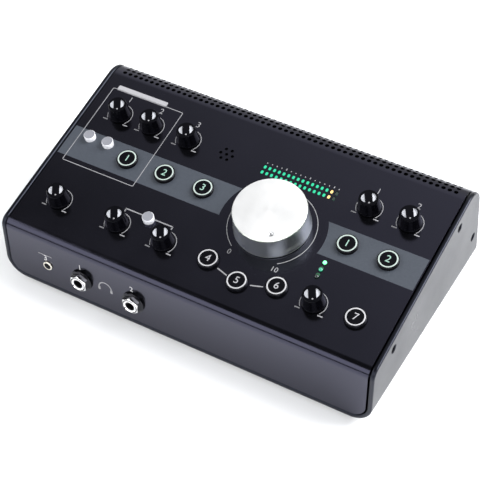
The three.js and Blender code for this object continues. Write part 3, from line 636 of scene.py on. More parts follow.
class Recipe:
    """Builds one material's node tree."""

    def __init__(self, name: str) -> None:
        """Starts a material with its Principled shader.

        Args:
            name: Name of the material.
        """
        self.material = bpy.data.materials.new(name)
        self.material.use_nodes = True
        self.tree = self.material.node_tree
        self.shader = self.tree.nodes["Principled BSDF"]

    def set(self, **values: float | Sequence[float]) -> None:
        """Sets values on the shader's own sockets."""
        for key, value in values.items():
            find(self.shader.inputs, key).default_value = value

    def node(self, kind: str, **fields: object) -> bpy.types.Node:
        """Adds a node and sets its fields or, for names it lacks, its input sockets.

        Args:
            kind: Kind of the node.
            fields: Values of its fields and sockets.

        Returns:
            The node.
        """
        made = self.tree.nodes.new(kind)
        for key, value in fields.items():
            if hasattr(made, key):
                setattr(made, key, value)
            else:
                find(made.inputs, key).default_value = value
        return made

    def link(self, out: Socket, into: Socket) -> None:
        """Joins two sockets."""
        self.tree.links.new(out, into)

    def coordinates(self, stretch: Sequence[float] = (1, 1, 1)) -> Socket:
        """Object coordinates, stretched.

        Args:
            stretch: Factors along X, Y and Z.

        Returns:
            The socket that gives them.
        """
        mapping = self.node("ShaderNodeMapping")
        mapping.inputs["Scale"].default_value = stretch
        self.link(self.node("ShaderNodeTexCoord").outputs["Object"], mapping.inputs["Vector"])
        return mapping.outputs["Vector"]

    def noise(self, scale: float, detail: float = 3, stretch: Sequence[float] = (1, 1, 1)) -> Socket:
        """Noise between 0 and 1 at a scale per metre.

        Args:
            scale: Cells per metre.
            detail: Finer layers.
            stretch: Factors along X, Y and Z.

        Returns:
            The socket that gives it.
        """
        made = self.node("ShaderNodeTexNoise", scale=scale, detail=detail)
        self.link(self.coordinates(stretch), made.inputs["Vector"])
        return made.outputs["Fac"]

    def tint(self, source: Socket, dark: Sequence[float], light: Sequence[float]) -> None:
        """Colours the shader between two colours by a value's middle range.

        Args:
            source: The value.
            dark: Colour at its low end.
            light: Colour at its high end.
        """
        ramp = self.node("ShaderNodeValToRGB")
        for stop, where, colour in zip(ramp.color_ramp.elements, (0.3, 0.7), (dark, light)):
            stop.position = where
            stop.color = (*colour, 1)
        self.link(source, ramp.inputs["Fac"])
        self.link(ramp.outputs["Color"], self.shader.inputs["Base Color"])

    def rough(self, source: Socket, low: float, high: float) -> None:
        """Lets a value's middle range vary the roughness.

        Args:
            source: The value.
            low: Roughness at its low end.
            high: Roughness at its high end.
        """
        made = self.node("ShaderNodeMapRange", from_min=0.3, from_max=0.7, to_min=low, to_max=high)
        self.link(source, made.inputs["Value"])
        self.link(made.outputs["Result"], self.shader.inputs["Roughness"])

    def bump(self, source: Socket, strength: float, distance: float) -> None:
        """Lets a value raise the surface, distance in metres.

        Args:
            source: The value.
            strength: Share of the effect.
            distance: Full height.
        """
        made = self.node("ShaderNodeBump", strength=strength, distance=distance)
        self.link(source, made.inputs["Height"])
        self.link(made.outputs["Normal"], self.shader.inputs["Normal"])


def shade(colour: Colour, factor: float) -> Colour:
    """A colour made lighter or darker."""
    return tuple(min(1.0, c * factor) for c in colour)


@dataclass(frozen=True)
class PowderCoat:
    """Fine grained powder coat on sheet metal, with faint handling marks."""

    name: str
    colour: Colour
    roughness: float
    grain: float
    level: float = 0.7
    tint: Colour = (0.67, 0.675, 1.0)

    def make(self) -> Material:
        """Builds the material.

        Returns:
            The material.
        """
        r = Recipe(self.name)
        cloud = r.noise(26, 4)
        r.tint(cloud, shade(self.colour, 0.88), shade(self.colour, 1.12))
        r.rough(cloud, self.roughness - 0.03, self.roughness + 0.04)
        r.bump(r.noise(2600, 2), self.grain, 0.00003)
        r.set(specular_ior_level=self.level, specular_tint=(*self.tint, 1))
        return r.material


@dataclass(frozen=True)
class SpunMetal:
    """Metal turned on a lathe, with fine rings about the local Z axis or fine bands along it."""

    name: str
    colour: Colour
    roughness: float
    rings: float
    metallic: float
    pull: float
    pattern: str = "RINGS"

    def make(self) -> Material:
        """Builds the material.

        Returns:
            The material.
        """
        r = Recipe(self.name)
        wave = r.node("ShaderNodeTexWave", wave_type=self.pattern, rings_direction="Z", bands_direction="Z")
        wave.inputs["Scale"].default_value = self.rings
        r.link(r.node("ShaderNodeTexCoord").outputs["Object"], wave.inputs["Vector"])
        tangent = r.node("ShaderNodeTangent", direction_type="RADIAL", axis="Z")
        r.link(tangent.outputs["Tangent"], r.shader.inputs["Tangent"])
        cloud = r.noise(90)
        r.tint(cloud, shade(self.colour, 0.97), shade(self.colour, 1.02))
        r.rough(cloud, self.roughness - 0.03, self.roughness + 0.04)
        r.bump(wave.outputs["Fac"], 0.12, 0.00002)
        r.set(metallic=self.metallic, anisotropic=self.pull)
        return r.material


@dataclass(frozen=True)
class BrightMetal:
    """Plated or polished metal with faint smears."""

    name: str
    colour: Colour
    roughness: float

    def make(self) -> Material:
        """Builds the material.

        Returns:
            The material.
        """
        r = Recipe(self.name)
        smear = r.noise(400, 3, (1, 1, 4))
        r.tint(smear, shade(self.colour, 0.94), self.colour)
        r.rough(smear, self.roughness, self.roughness + 0.09)
        r.bump(r.noise(1800, 2), 0.05, 0.00003)
        r.set(metallic=1.0)
        return r.material


@dataclass(frozen=True)
class Moulded:
    """Injection moulded plastic or rubber."""

    name: str
    colour: Colour
    roughness: float
    grain: float
    coat: float = 0.0
    level: float = 0.5

    def make(self) -> Material:
        """Builds the material.

        Returns:
            The material.
        """
        r = Recipe(self.name)
        cloud = r.noise(140)
        r.tint(cloud, shade(self.colour, 0.9), shade(self.colour, 1.08))
        r.rough(cloud, self.roughness - 0.04, self.roughness + 0.06)
        r.bump(r.noise(3200, 2), self.grain, 0.00004)
        r.set(specular_ior_level=self.level, specular_tint=(0.86, 0.88, 1.0, 1))
        r.set(coat_weight=self.coat, coat_roughness=0.08)
        return r.material


@dataclass(frozen=True)
class Lit:
    """A lens or print with a light behind it."""

    name: str
    colour: Colour
    glow: Colour
    strength: float

    def make(self) -> Material:
        """Builds the material.

        Returns:
            The material.
        """
        r = Recipe(self.name)
        cloud = r.noise(500, 2)
        r.tint(cloud, shade(self.colour, 0.9), self.colour)
        r.rough(cloud, 0.18, 0.3)
        r.bump(r.noise(2400, 1), 0.08, 0.00003)
        r.set(emission_color=(*self.glow, 1), emission_strength=self.strength, coat_weight=0.4)
        return r.material


@dataclass(frozen=True)
class Ink:
    """Screen print, slightly uneven."""

    name: str
    colour: Colour
    roughness: float = 0.5

    def make(self) -> Material:
        """Builds the material.

        Returns:
            The material.
        """
        r = Recipe(self.name)
        cloud = r.noise(700, 4)
        r.tint(cloud, shade(self.colour, 0.86), self.colour)
        r.rough(cloud, self.roughness - 0.08, self.roughness + 0.08)
        r.bump(r.noise(2600, 2), 0.4, 0.00005)
        return r.material


@dataclass(frozen=True)
class Lacquered:
    """Circuit board with solder mask and traces."""

    name: str
    colour: Colour

    def make(self) -> Material:
        """Builds the material.

        Returns:
            The material.
        """
        r = Recipe(self.name)
        brick = r.node("ShaderNodeTexBrick", scale=120)
        r.link(r.coordinates(), brick.inputs["Vector"])
        r.tint(brick.outputs["Fac"], self.colour, shade(self.colour, 1.7))
        r.rough(r.noise(200), 0.3, 0.45)
        r.bump(brick.outputs["Fac"], 0.3, 0.00005)
        return r.material


@dataclass(frozen=True)
class Paper:
    """Seamless studio paper."""

    name: str
    dark: Colour
    light: Colour

    def make(self) -> Material:
        """Builds the material.

        Returns:
            The material.
        """
        r = Recipe(self.name)
        cloud = r.noise(1.2)
        r.tint(cloud, self.dark, self.light)
        r.rough(cloud, 0.75, 0.85)
        r.bump(r.noise(900, 2), 0.05, 0.0001)
        return r.material


class Finish(Enum):
    """Every finish of the controller."""

    SHELL = PowderCoat("shell_coat", (0.0016, 0.0017, 0.0025), 0.3, 0.12, 0.37, (0.69, 0.75, 1.0))
    COVER = PowderCoat("cover_coat", (0.0016, 0.0016, 0.002), 0.16, 0.16)
    STRIPE = Ink("stripe_ink", (0.045, 0.053, 0.068), 0.4)
    WHITE_INK = Ink("white_ink", (0.25, 0.25, 0.265))
    BRIGHT_INK = Ink("bright_ink", (0.55, 0.55, 0.56))
    TITLE_INK = Ink("title_ink", (0.34, 0.34, 0.36))
    DIAL_METAL = SpunMetal("dial_aluminium", (0.74, 0.745, 0.75), 0.5, 2200, 0.7, 0.2)
    DIAL_FLANK = SpunMetal("dial_flank", (0.7, 0.75, 0.67), 0.3, 900, 1.0, 0.6, "BANDS")
    KNOB_TOP = Moulded("knob_top", (0.002, 0.002, 0.003), 0.35, 0.3, level=0.07)
    KNOB_BODY = Moulded("knob_body", (0.0012, 0.0012, 0.002), 0.16, 0.08, level=0.09)
    SCOOP = Moulded("scoop_white", (0.42, 0.43, 0.46), 0.16, 0.05, 0.6)
    CAP_BLACK = Moulded("cap_black", (0.002, 0.002, 0.003), 0.3, 0.1, level=0.12)
    BLACKENED = Moulded("blackened_steel", (0.006, 0.006, 0.007), 0.45, 0.1, level=0.0)
    CAP_WHITE = Moulded("cap_white", (0.75, 0.76, 0.8), 0.2, 0.08, 0.4)
    # Grey copy of the white cap plastic for the push caps' tops: painted shade, the top darker than the lit
    # white sides.
    CAP_TOP_PAINTED_SHADE = Moulded("cap_top_painted_shade", (0.2, 0.205, 0.23), 0.4, 0.5)
    RING_GREEN = Lit("ring_green", (0.25, 0.3, 0.28), (0.86, 1.0, 0.94), 0.32)
    RING_WHITE = Lit("ring_white", (0.36, 0.36, 0.38), (1.0, 1.0, 1.0), 0.14)
    SIGN_GREEN = Lit("sign_green", (0.2, 0.32, 0.27), (0.6, 0.95, 0.82), 0.26)
    SIGN_WHITE = Lit("sign_white", (0.3, 0.3, 0.32), (0.9, 0.9, 0.95), 0.1)
    LAMP_GREEN = Lit("lamp_green", (0.015, 0.18, 0.09), (0.01, 0.62, 0.34), 0.85)
    LAMP_DIM = Lit("lamp_dim", (0.03, 0.2, 0.12), (0.05, 0.45, 0.27), 0.6)
    LAMP_AMBER = Lit("lamp_amber", (0.5, 0.35, 0.12), (1.0, 0.62, 0.26), 0.85)
    LAMP_OFF = Moulded("lamp_off", (0.02, 0.03, 0.025), 0.2, 0.05, 0.5)
    LAMP_BRIGHT = Lit("lamp_bright", (0.1, 0.4, 0.2), (0.16, 1.0, 0.36), 2.6)
    NUT = BrightMetal("nut_plating", (0.93, 0.93, 0.94), 0.12)
    # Dark copy of the nut plating. On the front nuts' flats it is painted shade, standing for the dark
    # reflection of the same chrome; it also makes the collars and the rear line nuts dark.
    NUT_FLAT = BrightMetal("nut_flats", (0.035, 0.035, 0.04), 0.16)
    BRASS = BrightMetal("small_ring", (0.8, 0.77, 0.68), 0.22)
    STEEL = BrightMetal("bare_steel", (0.55, 0.56, 0.57), 0.28)
    SOCKET = Moulded("socket_plastic", (0.004, 0.004, 0.005), 0.35, 0.2, level=0.25)
    RUBBER = Moulded("foot_rubber", (0.012, 0.012, 0.012), 0.75, 0.6)
    FOAM = Moulded("capsule_felt", (0.006, 0.006, 0.006), 0.95, 0.9)
    LENS = Moulded("guide_acrylic", (0.02, 0.09, 0.06), 0.2, 0.05)
    BOARD = Lacquered("board_lacquer", (0.01, 0.06, 0.028))
    FLOOR = Paper("pale_floor", (0.93, 0.945, 0.965), (0.95, 0.96, 0.975))

    @property
    def material(self) -> Material:
        """The material, made on first use."""
        return bpy.data.materials.get(self.value.name) or self.value.make()


def repaint(node: str, finish: Finish) -> None:
    """Gives a CAD node its finish.

    Args:
        node: Name of the node.
        finish: Its finish.
    """
    piece = frame["nodes"][node]
    if not piece.material_slots:
        piece.data.materials.append(finish.material)
    for held in piece.material_slots:
        held.material = finish.material
    log.info("%s in %s", node, finish.value.name)


# Studio


@dataclass(frozen=True)
class Softbox:
    """One rectangular area light that looks at the object, in metres and watts."""

    name: str
    at: Colour
    wide: float
    tall: float
    power: float


@dataclass
class Studio:
    """Camera, light and floor."""

    camera_from_corner: tuple[float, float, float] = (366.055, -547.554, 709.112)
    camera_degrees: tuple[float, float, float] = (44.9044, 0.48845, 29.6259)
    lens: float = 109.2147
    sensor: float = 36.0
    floor_size: float = 12000.0
    sky_towards: tuple[float, float, float] = (0.5, 0.86, 0.0)
    sky: tuple[Point, ...] = (
        (-1.0, 0.08),
        (-0.35, 0.03),
        (-0.12, 0.05),
        (0.0, 0.28),
        (0.1, 0.55),
        (0.2, 0.85),
        (0.4, 0.9),
        (1.0, 0.15),
    )
    boxes: tuple[Softbox, ...] = (
        Softbox("key", (1.4, 1.1, 1.9), 1.7, 1.7, 115),
        Softbox("left", (-1.9, -0.6, 1.5), 1.4, 1.4, 24),
        Softbox("front", (-0.84, -1.97, 1.2), 1.9, 1.6, 23),
        Softbox("fill", (1.1, -1.9, 1.5), 1.3, 1.3, 38),
    )

    def build(self) -> None:
        """Sets up the whole studio."""
        self.camera()
        floor = Mould().prism(plate(self.floor_size, self.floor_size), -20, -0.02)
        floor.cast("studio_floor", Finish.FLOOR.material)
        self.world()
        for box in self.boxes:
            self.light(box)
        bpy.context.scene.view_settings.view_transform = "Standard"

    def camera(self) -> None:
        """Places the camera as the photograph's."""
        data = bpy.data.cameras.new("camera")
        data.sensor_fit = "HORIZONTAL"
        data.sensor_width = self.sensor
        data.lens = self.lens
        data.clip_start, data.clip_end = 0.05, 50
        made = add_object("camera", data)
        made.location = (FRAMES.corner() + Vector(self.camera_from_corner)) * MM
        made.rotation_euler = Euler([math.radians(a) for a in self.camera_degrees], "XYZ")
        bpy.context.scene.camera = made

    def world(self) -> None:
        """Dark surroundings in front and above, bright ones behind."""
        world = bpy.data.worlds.new("studio")
        bpy.context.scene.world = world
        world.use_nodes = True
        tree = world.node_tree
        kinds = ("ShaderNodeTexCoord", "ShaderNodeVectorMath", "ShaderNodeMapRange", "ShaderNodeValToRGB")
        place, towards, span, ramp = (tree.nodes.new(kind) for kind in kinds)
        towards.operation = "DOT_PRODUCT"
        towards.inputs[1].default_value = self.sky_towards
        span.inputs["From Min"].default_value = -1.0
        tree.links.new(place.outputs["Generated"], towards.inputs[0])
        tree.links.new(towards.outputs["Value"], span.inputs["Value"])
        tree.links.new(span.outputs["Result"], ramp.inputs["Fac"])
        tree.links.new(ramp.outputs["Color"], tree.nodes["Background"].inputs["Color"])
        stops = ramp.color_ramp.elements
        while len(stops) < len(self.sky):
            stops.new(0.5)
        for stop, (where, bright) in zip(stops, self.sky):
            stop.position = (where + 1) / 2
            stop.color = (bright, bright, bright, 1)

    def light(self, box: Softbox) -> None:
        """Hangs one soft light that looks at the middle of the object.

        Args:
            box: The light.
        """
        data = bpy.data.lights.new(box.name, "AREA")
        data.shape = "RECTANGLE"
        data.size, data.size_y = box.wide, box.tall
        data.energy = box.power
        made = add_object(box.name, data)
        made.location = box.at
        made.rotation_euler = (-Vector(box.at)).to_track_quat("-Z", "Y").to_euler()


# Case


@dataclass
class Case:
    """Shell, cover, rear panel, feet and boards, with their small screws."""

    half_wide: float = 145.0
    wall: float = 3.5
    seam: float = 0.9
    sheet: float = 1.5
    flange: float = 12.0
    flange_sheet: float = 1.2
    corner: float = 15.5
    edge: float = 1.25
    sharp: float = 40.0
    past: float = 20.0
    reach: float = 300.0
    knob_hole: float = 3.6
    dial_hole: float = 4.9
    button_hole: float = 7.95
    push_hole: float = 4.55
    lamp_hole: float = 1.8
    window: tuple[float, float] = (2.5, 3.3)
    mic_hole: float = 1.2
    mic_ring: float = 4.7
    headphone_hole: float = 5.4
    small_hole: float = 3.4
    vent_radius: float = 1.6
    vent_spacing: float = 4.67
    vent_columns: int = 58
    vent_rows: int = 5
    screw_radius: float = 3.4
    screw_along: tuple[float, float] = (27.3, 129.8)
    screw_inset: float = 9.4
    screw_rear: Point = (159.6, 34.7)
    foot_radius: float = 8.0

    def build(self) -> None:
        """Dresses the case."""
        self.shell()
        self.cover()
        repaint("rear_panel", Finish.COVER)
        repaint("control_board", Finish.BOARD)
        repaint("connector_board", Finish.BOARD)
        for i in range(1, 5):
            self.foot(f"rubber_foot_{i}")
        for hand, right in (("right", True), ("left", False)):
            for k, place in enumerate(self.screw_places(right)):
                self.screw(f"side_screw_{hand}_{k + 1}", on_face(FRAMES.side(right), *place))

    def screw_places(self, right: bool) -> list[Point]:
        """Side screws on a side: two below the slope, one low at the rear.

        Args:
            right: True for the right side.

        Returns:
            Their places on the side's face.
        """
        s = math.radians(FRAMES.slope)
        places = [self.screw_rear]
        for along in reversed(self.screw_along):
            y = along * math.cos(s) + self.screw_inset * math.sin(s)
            z = FRAMES.front_height + along * math.sin(s) - self.screw_inset * math.cos(s)
            places.insert(0, (y, z))
        return places if right else [(-y, z) for y, z in places]

    def trim(self, piece: Piece, outline: Outline, way: Carving) -> None:
        """Works a piece with a front view that runs through the whole depth.

        Args:
            piece: The piece.
            outline: The front view.
            way: How it works the piece.
        """
        carve(piece, Mould().prism(outline, -self.reach, self.past).move(FRAMES.front()), way)

    def shell(self) -> None:
        """Bends the thick plate up into both sides."""
        side = FRAMES.side_line(0.0, 0.0, 24)
        block = Mould().prism(side[::-1], -self.half_wide, self.half_wide).move(FRAMES.across())
        piece = block.cast("shell_plate", Finish.SHELL.material)
        self.trim(piece, channel(self.half_wide, 0, self.reach, self.corner), Carving.KEEP)
        room = channel(self.half_wide - self.wall, self.wall, self.reach, self.corner - self.wall)
        self.trim(piece, room, Carving.CUT)
        crease(piece, self.sharp, self.edge, 4)
        rim = self.screw_radius + 0.25
        cone = [(0, -5), (1.9, -5), (1.9, -1.7), (rim, 0), (rim, 1), (0, 1)]
        holes = Mould()
        for right in (True, False):
            for place in self.screw_places(right):
                at = Matrix.Translation((*place, 0))
                holes.take(Mould().lathe(cone, 40).move(FRAMES.side(right) @ at))
        carve(piece, holes)
        crease(piece, self.sharp)
        level(piece)
        seat(piece, Matrix.Identity(4), "case_paint", "base_shell")

    def cover(self) -> None:
        """Folds the sheet over the top and punches it."""
        low = self.wall + self.seam
        half = self.half_wide - low
        outside, inside = (FRAMES.side_line(inset, low, 32)[:-1] for inset in (0.0, self.sheet))
        band = Mould().prism([*inside, *reversed(outside)], -half, half).move(FRAMES.across())
        piece = band.cast("cover_sheet", Finish.COVER.material)
        carve(piece, self.flanges(half, low), Carving.JOIN)
        self.trim(piece, channel(half, low, self.reach, self.corner - low), Carving.KEEP)
        crease(piece, self.sharp, 0.25)
        carve(piece, self.punches())
        crease(piece, self.sharp)
        level(piece)
        seat(piece, Matrix.Identity(4), "cover_paint", "top_cover")

    def flanges(self, half: float, low: float) -> Mould:
        """Strips along both ends of the sheet, turned in against the shell's sides.

        Args:
            half: Half the width of the sheet.
            low: Height of the sheet's feet.

        Returns:
            Both strips in one form.
        """
        foot, front, rear, end = FRAMES.side_corners(self.flange, low)
        last = fillet(front, rear, end, FRAMES.rear_seam - self.flange, 1)[-1]
        outside = FRAMES.side_line(self.sheet / 2, low, 16)[:-1]
        strip = [*map(tuple, (foot, front, rear)), last, *reversed(outside)]
        both = Mould()
        for start in (-half, half - self.flange_sheet):
            both.prism(strip, start, start + self.flange_sheet)
        return both.move(FRAMES.across())

    def punch(self, holes: Mould, face: Matrix, at: Iterable[float], outline: Outline) -> None:
        """Adds one punch through the sheet.

        Args:
            holes: The form that collects the punches.
            face: Frame of the punched face.
            at: Place of the hole, of which the first two numbers count.
            outline: Shape of the hole.
        """
        x, y, *_ = at
        hole = Mould().prism(outline, -self.sheet - 1, 1)
        holes.take(hole.move(face @ Matrix.Translation((x, y, 0))))

    def punches(self) -> Mould:
        """All holes of the cover in one form.

        Returns:
            The holes, which are used up by the cut.
        """
        holes = Mould()
        panel, front = FRAMES.panel(), FRAMES.front()
        rounds = {"volume_knob": self.dial_hole, "button": self.button_hole, "push": self.push_hole}
        rounds |= {"knob": self.knob_hole}
        for node in frame["nodes"]:
            kind = next((kind for kind in rounds if kind in node), "")
            if kind:
                self.punch(holes, panel, FRAMES.centre(node, panel), circle(rounds[kind], 32))
        mic = FRAMES.centre("mic_capsule", panel)
        for at in (mic, *arc((mic.x, mic.y), self.mic_ring, 0, 300, 5)):
            self.punch(holes, panel, at, circle(self.mic_hole, 20))
        for at in PanelLights().lamp_places():
            self.punch(holes, panel, at, circle(self.lamp_hole, 24))
        for at in PanelLights().windows():
            self.punch(holes, panel, at, rounded_rectangle(*self.window, 0.7, 4))
        sockets = {"headphone_nut_1": self.headphone_hole, "headphone_nut_2": self.headphone_hole}
        for node, radius in (sockets | {"small_input_jack": self.small_hole}).items():
            at = (FRAMES.centre(node, front).x, FrontSockets().up)
            self.punch(holes, front, at, circle(radius, 40))
        self.vents(holes)
        return holes

    def vents(self, holes: Mould) -> None:
        """Adds rows of round holes through the rear bend.

        Args:
            holes: The form that collects the punches.
        """
        centre = FRAMES.rear_axis()
        outer = FRAMES.rear_bend + 1
        inner = FRAMES.rear_bend - self.sheet - 1
        for row in range(1, self.vent_rows + 1):
            out = polar(1, 90 + FRAMES.slope - math.degrees(self.vent_spacing / FRAMES.rear_bend) * row)
            for i in range(self.vent_columns):
                x = (i - (self.vent_columns - 1) / 2) * self.vent_spacing
                place = axes((1, 0, 0), (0, out[1], -out[0]), FRAMES.spot(x, *centre))
                holes.take(Mould().prism(circle(self.vent_radius, 16, 345), inner, outer).move(place))

    def foot(self, node: str) -> None:
        """Replaces one foot by a rounded one with a shallow cup.

        Args:
            node: Name of the foot's node.
        """
        low, high = node_box(node)
        gap = FRAMES.spot().z - (high.z - low.z)
        top = gap + high.z - low.z
        rim = self.foot_radius
        profile = [(0, gap), (rim, gap), (rim - 1, top), (3.0, top), (2.4, top - 1), (0, top - 1)]
        made = Mould().lathe(soften(profile, 0.5)).cast(f"{node}_turned", Finish.RUBBER.material)
        seat(made, at_node(node, FRAMES.underside()), "rubber", node)

    def screw(self, name: str, place: Matrix) -> None:
        """Sets one countersunk screw with a cross recess in a side.

        Args:
            name: Name of the object.
            place: Place of the head's middle, in metres.
        """
        head = [(self.screw_radius - 0.3, -0.75), (self.screw_radius - 0.4, -0.6), (0, -0.55)]
        made = Mould().lathe([(0, -3.5), (1.5, -3.5), (1.55, -2.4), *head], 48)
        piece = made.cast(name, Finish.BLACKENED.material)
        recess(piece, 20, 3.4, 0.64, -1.6, 1)
        seat(piece, place, "dark_plastic")


def circle(radius: float, steps: int, last: float = 0.0) -> Outline:
    """Outline of a circle of so many sides, whose last corner may be given in degrees."""
    return arc((0, 0), radius, 0, last or 360 - 360 / steps, steps - 1)


# Prints


def print_number(
    name: str,
    text: str,
    size: float,
    place: Matrix,
    finish: Finish,
    slot: str = "cover_paint",
    body: str = CASE,
) -> None:
    """Prints a plain number, slightly raised.

    Args:
        name: Name of the piece.
        text: The number.
        size: Height of the type.
        place: Place of its middle, in metres.
        finish: Its finish.
        slot: Passed on to seat, which does not use it.
        body: The body it rides on.
    """
    curve = bpy.data.curves.new(name, "FONT")
    curve.body = text
    curve.size = size * MM * 1.35
    curve.align_x = curve.align_y = "CENTER"
    curve.extrude = PanelPrint.ink * MM
    curve.resolution_u = 4
    holder = add_object(f"{name}_type", curve)
    bpy.context.view_layer.update()
    mesh = bpy.data.meshes.new_from_object(holder.evaluated_get(bpy.context.evaluated_depsgraph_get()))
    bpy.data.objects.remove(holder)
    mesh.materials.clear()
    mesh.materials.append(finish.material)
    seat(add_object(name, mesh), place, slot, body=body)


@dataclass
class PanelPrint:
    """White and grey screen print on the slope and over the front sockets."""

    ink: float = 0.03
    line: float = 0.9
    knob_arc: tuple[float, float, float] = (9.3, 0.55, 130)
    knob_tick: tuple[float, float, float] = (8.4, -7.3, 1.9)
    dial_arc: tuple[float, float, float] = (31.1, 0.5, 146)
    dial_centre: Point = (32.0, -1.3)
    clear_circle: float = 38.4
    stripe: tuple[float, float] = (-8.5, 17.5)
    stripe_edge: float = 139.9
    title: tuple[float, float] = (42.0, 4.4)
    title_at: Point = (-109.0, 60.2)
    input_frame: tuple[Point, Point] = ((-133.0, -12.5), (-73.5, 58.5))
    frame_line: float = 0.55
    frame_corner: float = 1.0
    meter_ticks: tuple[float, float, float] = (4.2, 43.6, 3.72)
    links: tuple[tuple[Point, Point], ...] = (
        ((-68, -30.5), (-52.8, -30.5)),
        ((-44.0, -30.5), (-29.5, -30.5)),
        ((-67.6, -30.1), (-67.6, -33.0)),
        ((-29.9, -30.1), (-29.9, -33.0)),
        ((14.5, -46.6), (23.2, -49.2)),
        ((41.0, -49.4), (49.6, -46.8)),
    )
    knob_nodes: tuple[str, ...] = (
        "gain_knob_1",
        "gain_knob_2",
        "line_trim_knob",
        "monitor_trim_knob_1",
        "monitor_trim_knob_2",
        "direct_level_knob",
        "headphone_level_knob_1",
        "headphone_level_knob_2",
        "talkback_level_knob",
    )
    numbers: tuple[tuple[str, float, float, float], ...] = (
        ("1", -115.2, 53.4, 5.0),
        ("2", -88.5, 53.4, 5.0),
        ("3", -57.5, 53.4, 5.0),
        ("1", 85.5, 53.4, 5.0),
        ("2", 115.7, 53.4, 5.0),
        ("0", 15.2, -31.8, 4.2),
        ("10", 49.8, -31.8, 4.2),
    )
    front_numbers: tuple[tuple[str, float, float, float], ...] = (
        ("3", -109.3, 29.4, 5.2),
        ("1", -79.9, 34.6, 4.6),
        ("2", -37.6, 34.6, 4.6),
    )
    headphone_sign: Point = (-59.6, 24.5)
    front_line: tuple[Point, Point] = ((-115.0, 32.4), (-103.6, 32.4))

    def build(self) -> None:
        """Prints everything."""
        face = FRAMES.panel()
        self.lay(self.stripe_mould(), "panel_stripe", face, Finish.STRIPE)
        self.lay(self.lines(face), "panel_lines", face, Finish.WHITE_INK)
        title = Mould().prism(rounded_rectangle(*self.title, 0.8), -self.ink, self.ink, at=self.title_at)
        self.lay(title, "title_bar", face, Finish.TITLE_INK)
        for k, (text, x, y, size) in enumerate(self.numbers):
            print_number(f"panel_number_{k + 1}", text, size, on_face(face, x, y), Finish.WHITE_INK)
        front = FRAMES.front()
        for k, (text, x, y, size) in enumerate(self.front_numbers):
            print_number(f"front_number_{k + 1}", text, size, on_face(front, x, y), Finish.BRIGHT_INK)
        self.lay(self.front_lines(), "front_line", front, Finish.WHITE_INK)

    def lay(self, mould: Mould, name: str, face: Matrix, finish: Finish) -> None:
        """Seats one print on its face."""
        seat(mould.cast(name, finish.material), on_face(face), "cover_paint")

    def band(self, mould: Mould, centre: Iterable[float], size: Sequence[float], steps: int) -> None:
        """Adds an arc line that stands evenly about the way up.

        Args:
            mould: The print.
            centre: Centre of the arc, of which the first two numbers count.
            size: Its radius, the width of the line and its reach to either side in degrees.
            steps: Number of straight steps.
        """
        x, y, *_ = centre
        radius, line, reach = size
        outer = arc((x, y), radius + line / 2, 90 + reach, 90 - reach, steps)
        inner = arc((x, y), radius - line / 2, 90 - reach, 90 + reach, steps)
        mould.prism([*outer, *inner][::-1], -self.ink, self.ink)

    def bar(self, mould: Mould, start: Point, end: Point, line: float) -> None:
        """Adds a straight line.

        Args:
            mould: The print.
            start: One end.
            end: The other end.
            line: Width of the line.
        """
        a, b = Vector(start), Vector(end)
        side = (b - a).normalized().orthogonal() * line / 2
        points = [tuple(p) for p in (a - side, b - side, b + side, a + side)]
        area = sum(p[0] * q[1] - q[0] * p[1] for p, q in zip(points, points[1:] + points[:1]))
        mould.prism(points if area > 0 else points[::-1], -self.ink, self.ink)

    def lines(self, face: Matrix) -> Mould:
        """Knob scales, dial arc, box round the input section, links and marks over the meter.

        Args:
            face: Frame of the face.

        Returns:
            The print.
        """
        mould = Mould()
        tick_x, tick_y, half = self.knob_tick
        for node in self.knob_nodes:
            middle = FRAMES.centre(node, face)
            self.band(mould, middle, self.knob_arc, 48)
            y = middle.y + tick_y
            for x in (middle.x - tick_x, middle.x + tick_x):
                self.bar(mould, (x - half, y), (x + half, y), self.line)
        self.band(mould, self.dial_centre, self.dial_arc, 96)
        self.box(mould)
        for start, end in self.links:
            self.bar(mould, start, end, self.line)
        first, y, pitch = self.meter_ticks
        for i in range(PanelLights.columns):
            x = first + pitch * i
            self.bar(mould, (x, y), (x, y + (1.6 if i % 5 == 4 else 0.9)), 0.7)
        return mould

    def box(self, mould: Mould) -> None:
        """Adds the closed line with round corners about the input section.

        Args:
            mould: The print.
        """
        (x0, y0), (x1, y1) = self.input_frame
        line, r = self.frame_line, self.frame_corner
        for y in (y0, y1):
            self.bar(mould, (x0 + r, y), (x1 - r, y), line)
        for x in (x0, x1):
            self.bar(mould, (x, y0 + r), (x, y1 - r), line)
        turns = ((x0 + r, y0 + r, 180), (x1 - r, y0 + r, 270), (x1 - r, y1 - r, 0), (x0 + r, y1 - r, 90))
        for x, y, a in turns:
            outer = arc((x, y), r + line / 2, a, a + 90, 6)
            mould.prism([*outer, *arc((x, y), r - line / 2, a + 90, a, 6)], -self.ink, self.ink)

    def stripe_mould(self) -> Mould:
        """Grey band in two lengths, cut round the dial.

        Returns:
            The print.
        """
        low, high = self.stripe
        edge, r, cy = self.stripe_edge, self.clear_circle, self.dial_centre[1]
        a, b = (math.degrees(math.asin(rise / r)) for rise in (high - cy, cy - low))
        left = [(-edge, high), (-edge, low), *arc(self.dial_centre, r, 180 + b, 180 - a, 24)]
        right = [(edge, low), (edge, high), *arc(self.dial_centre, r, a, -b, 24)]
        return Mould().prism(left, -self.ink, self.ink * 0.6).prism(right, -self.ink, self.ink * 0.6)

    def front_lines(self) -> Mould:
        """Short line over the small socket and the sign of a pair of headphones.

        Returns:
            The print.
        """
        mould = Mould()
        self.bar(mould, *self.front_line, 0.6)
        x, y = self.headphone_sign
        self.band(mould, (x, y), (5.0, 0.9, 95), 32)
        for ear in (x - 5.0, x + 5.0):
            mould.prism(rounded_rectangle(1.9, 3.4, 0.7), -self.ink, self.ink, at=(ear, y - 1.6))
        return mould


# Volume dial


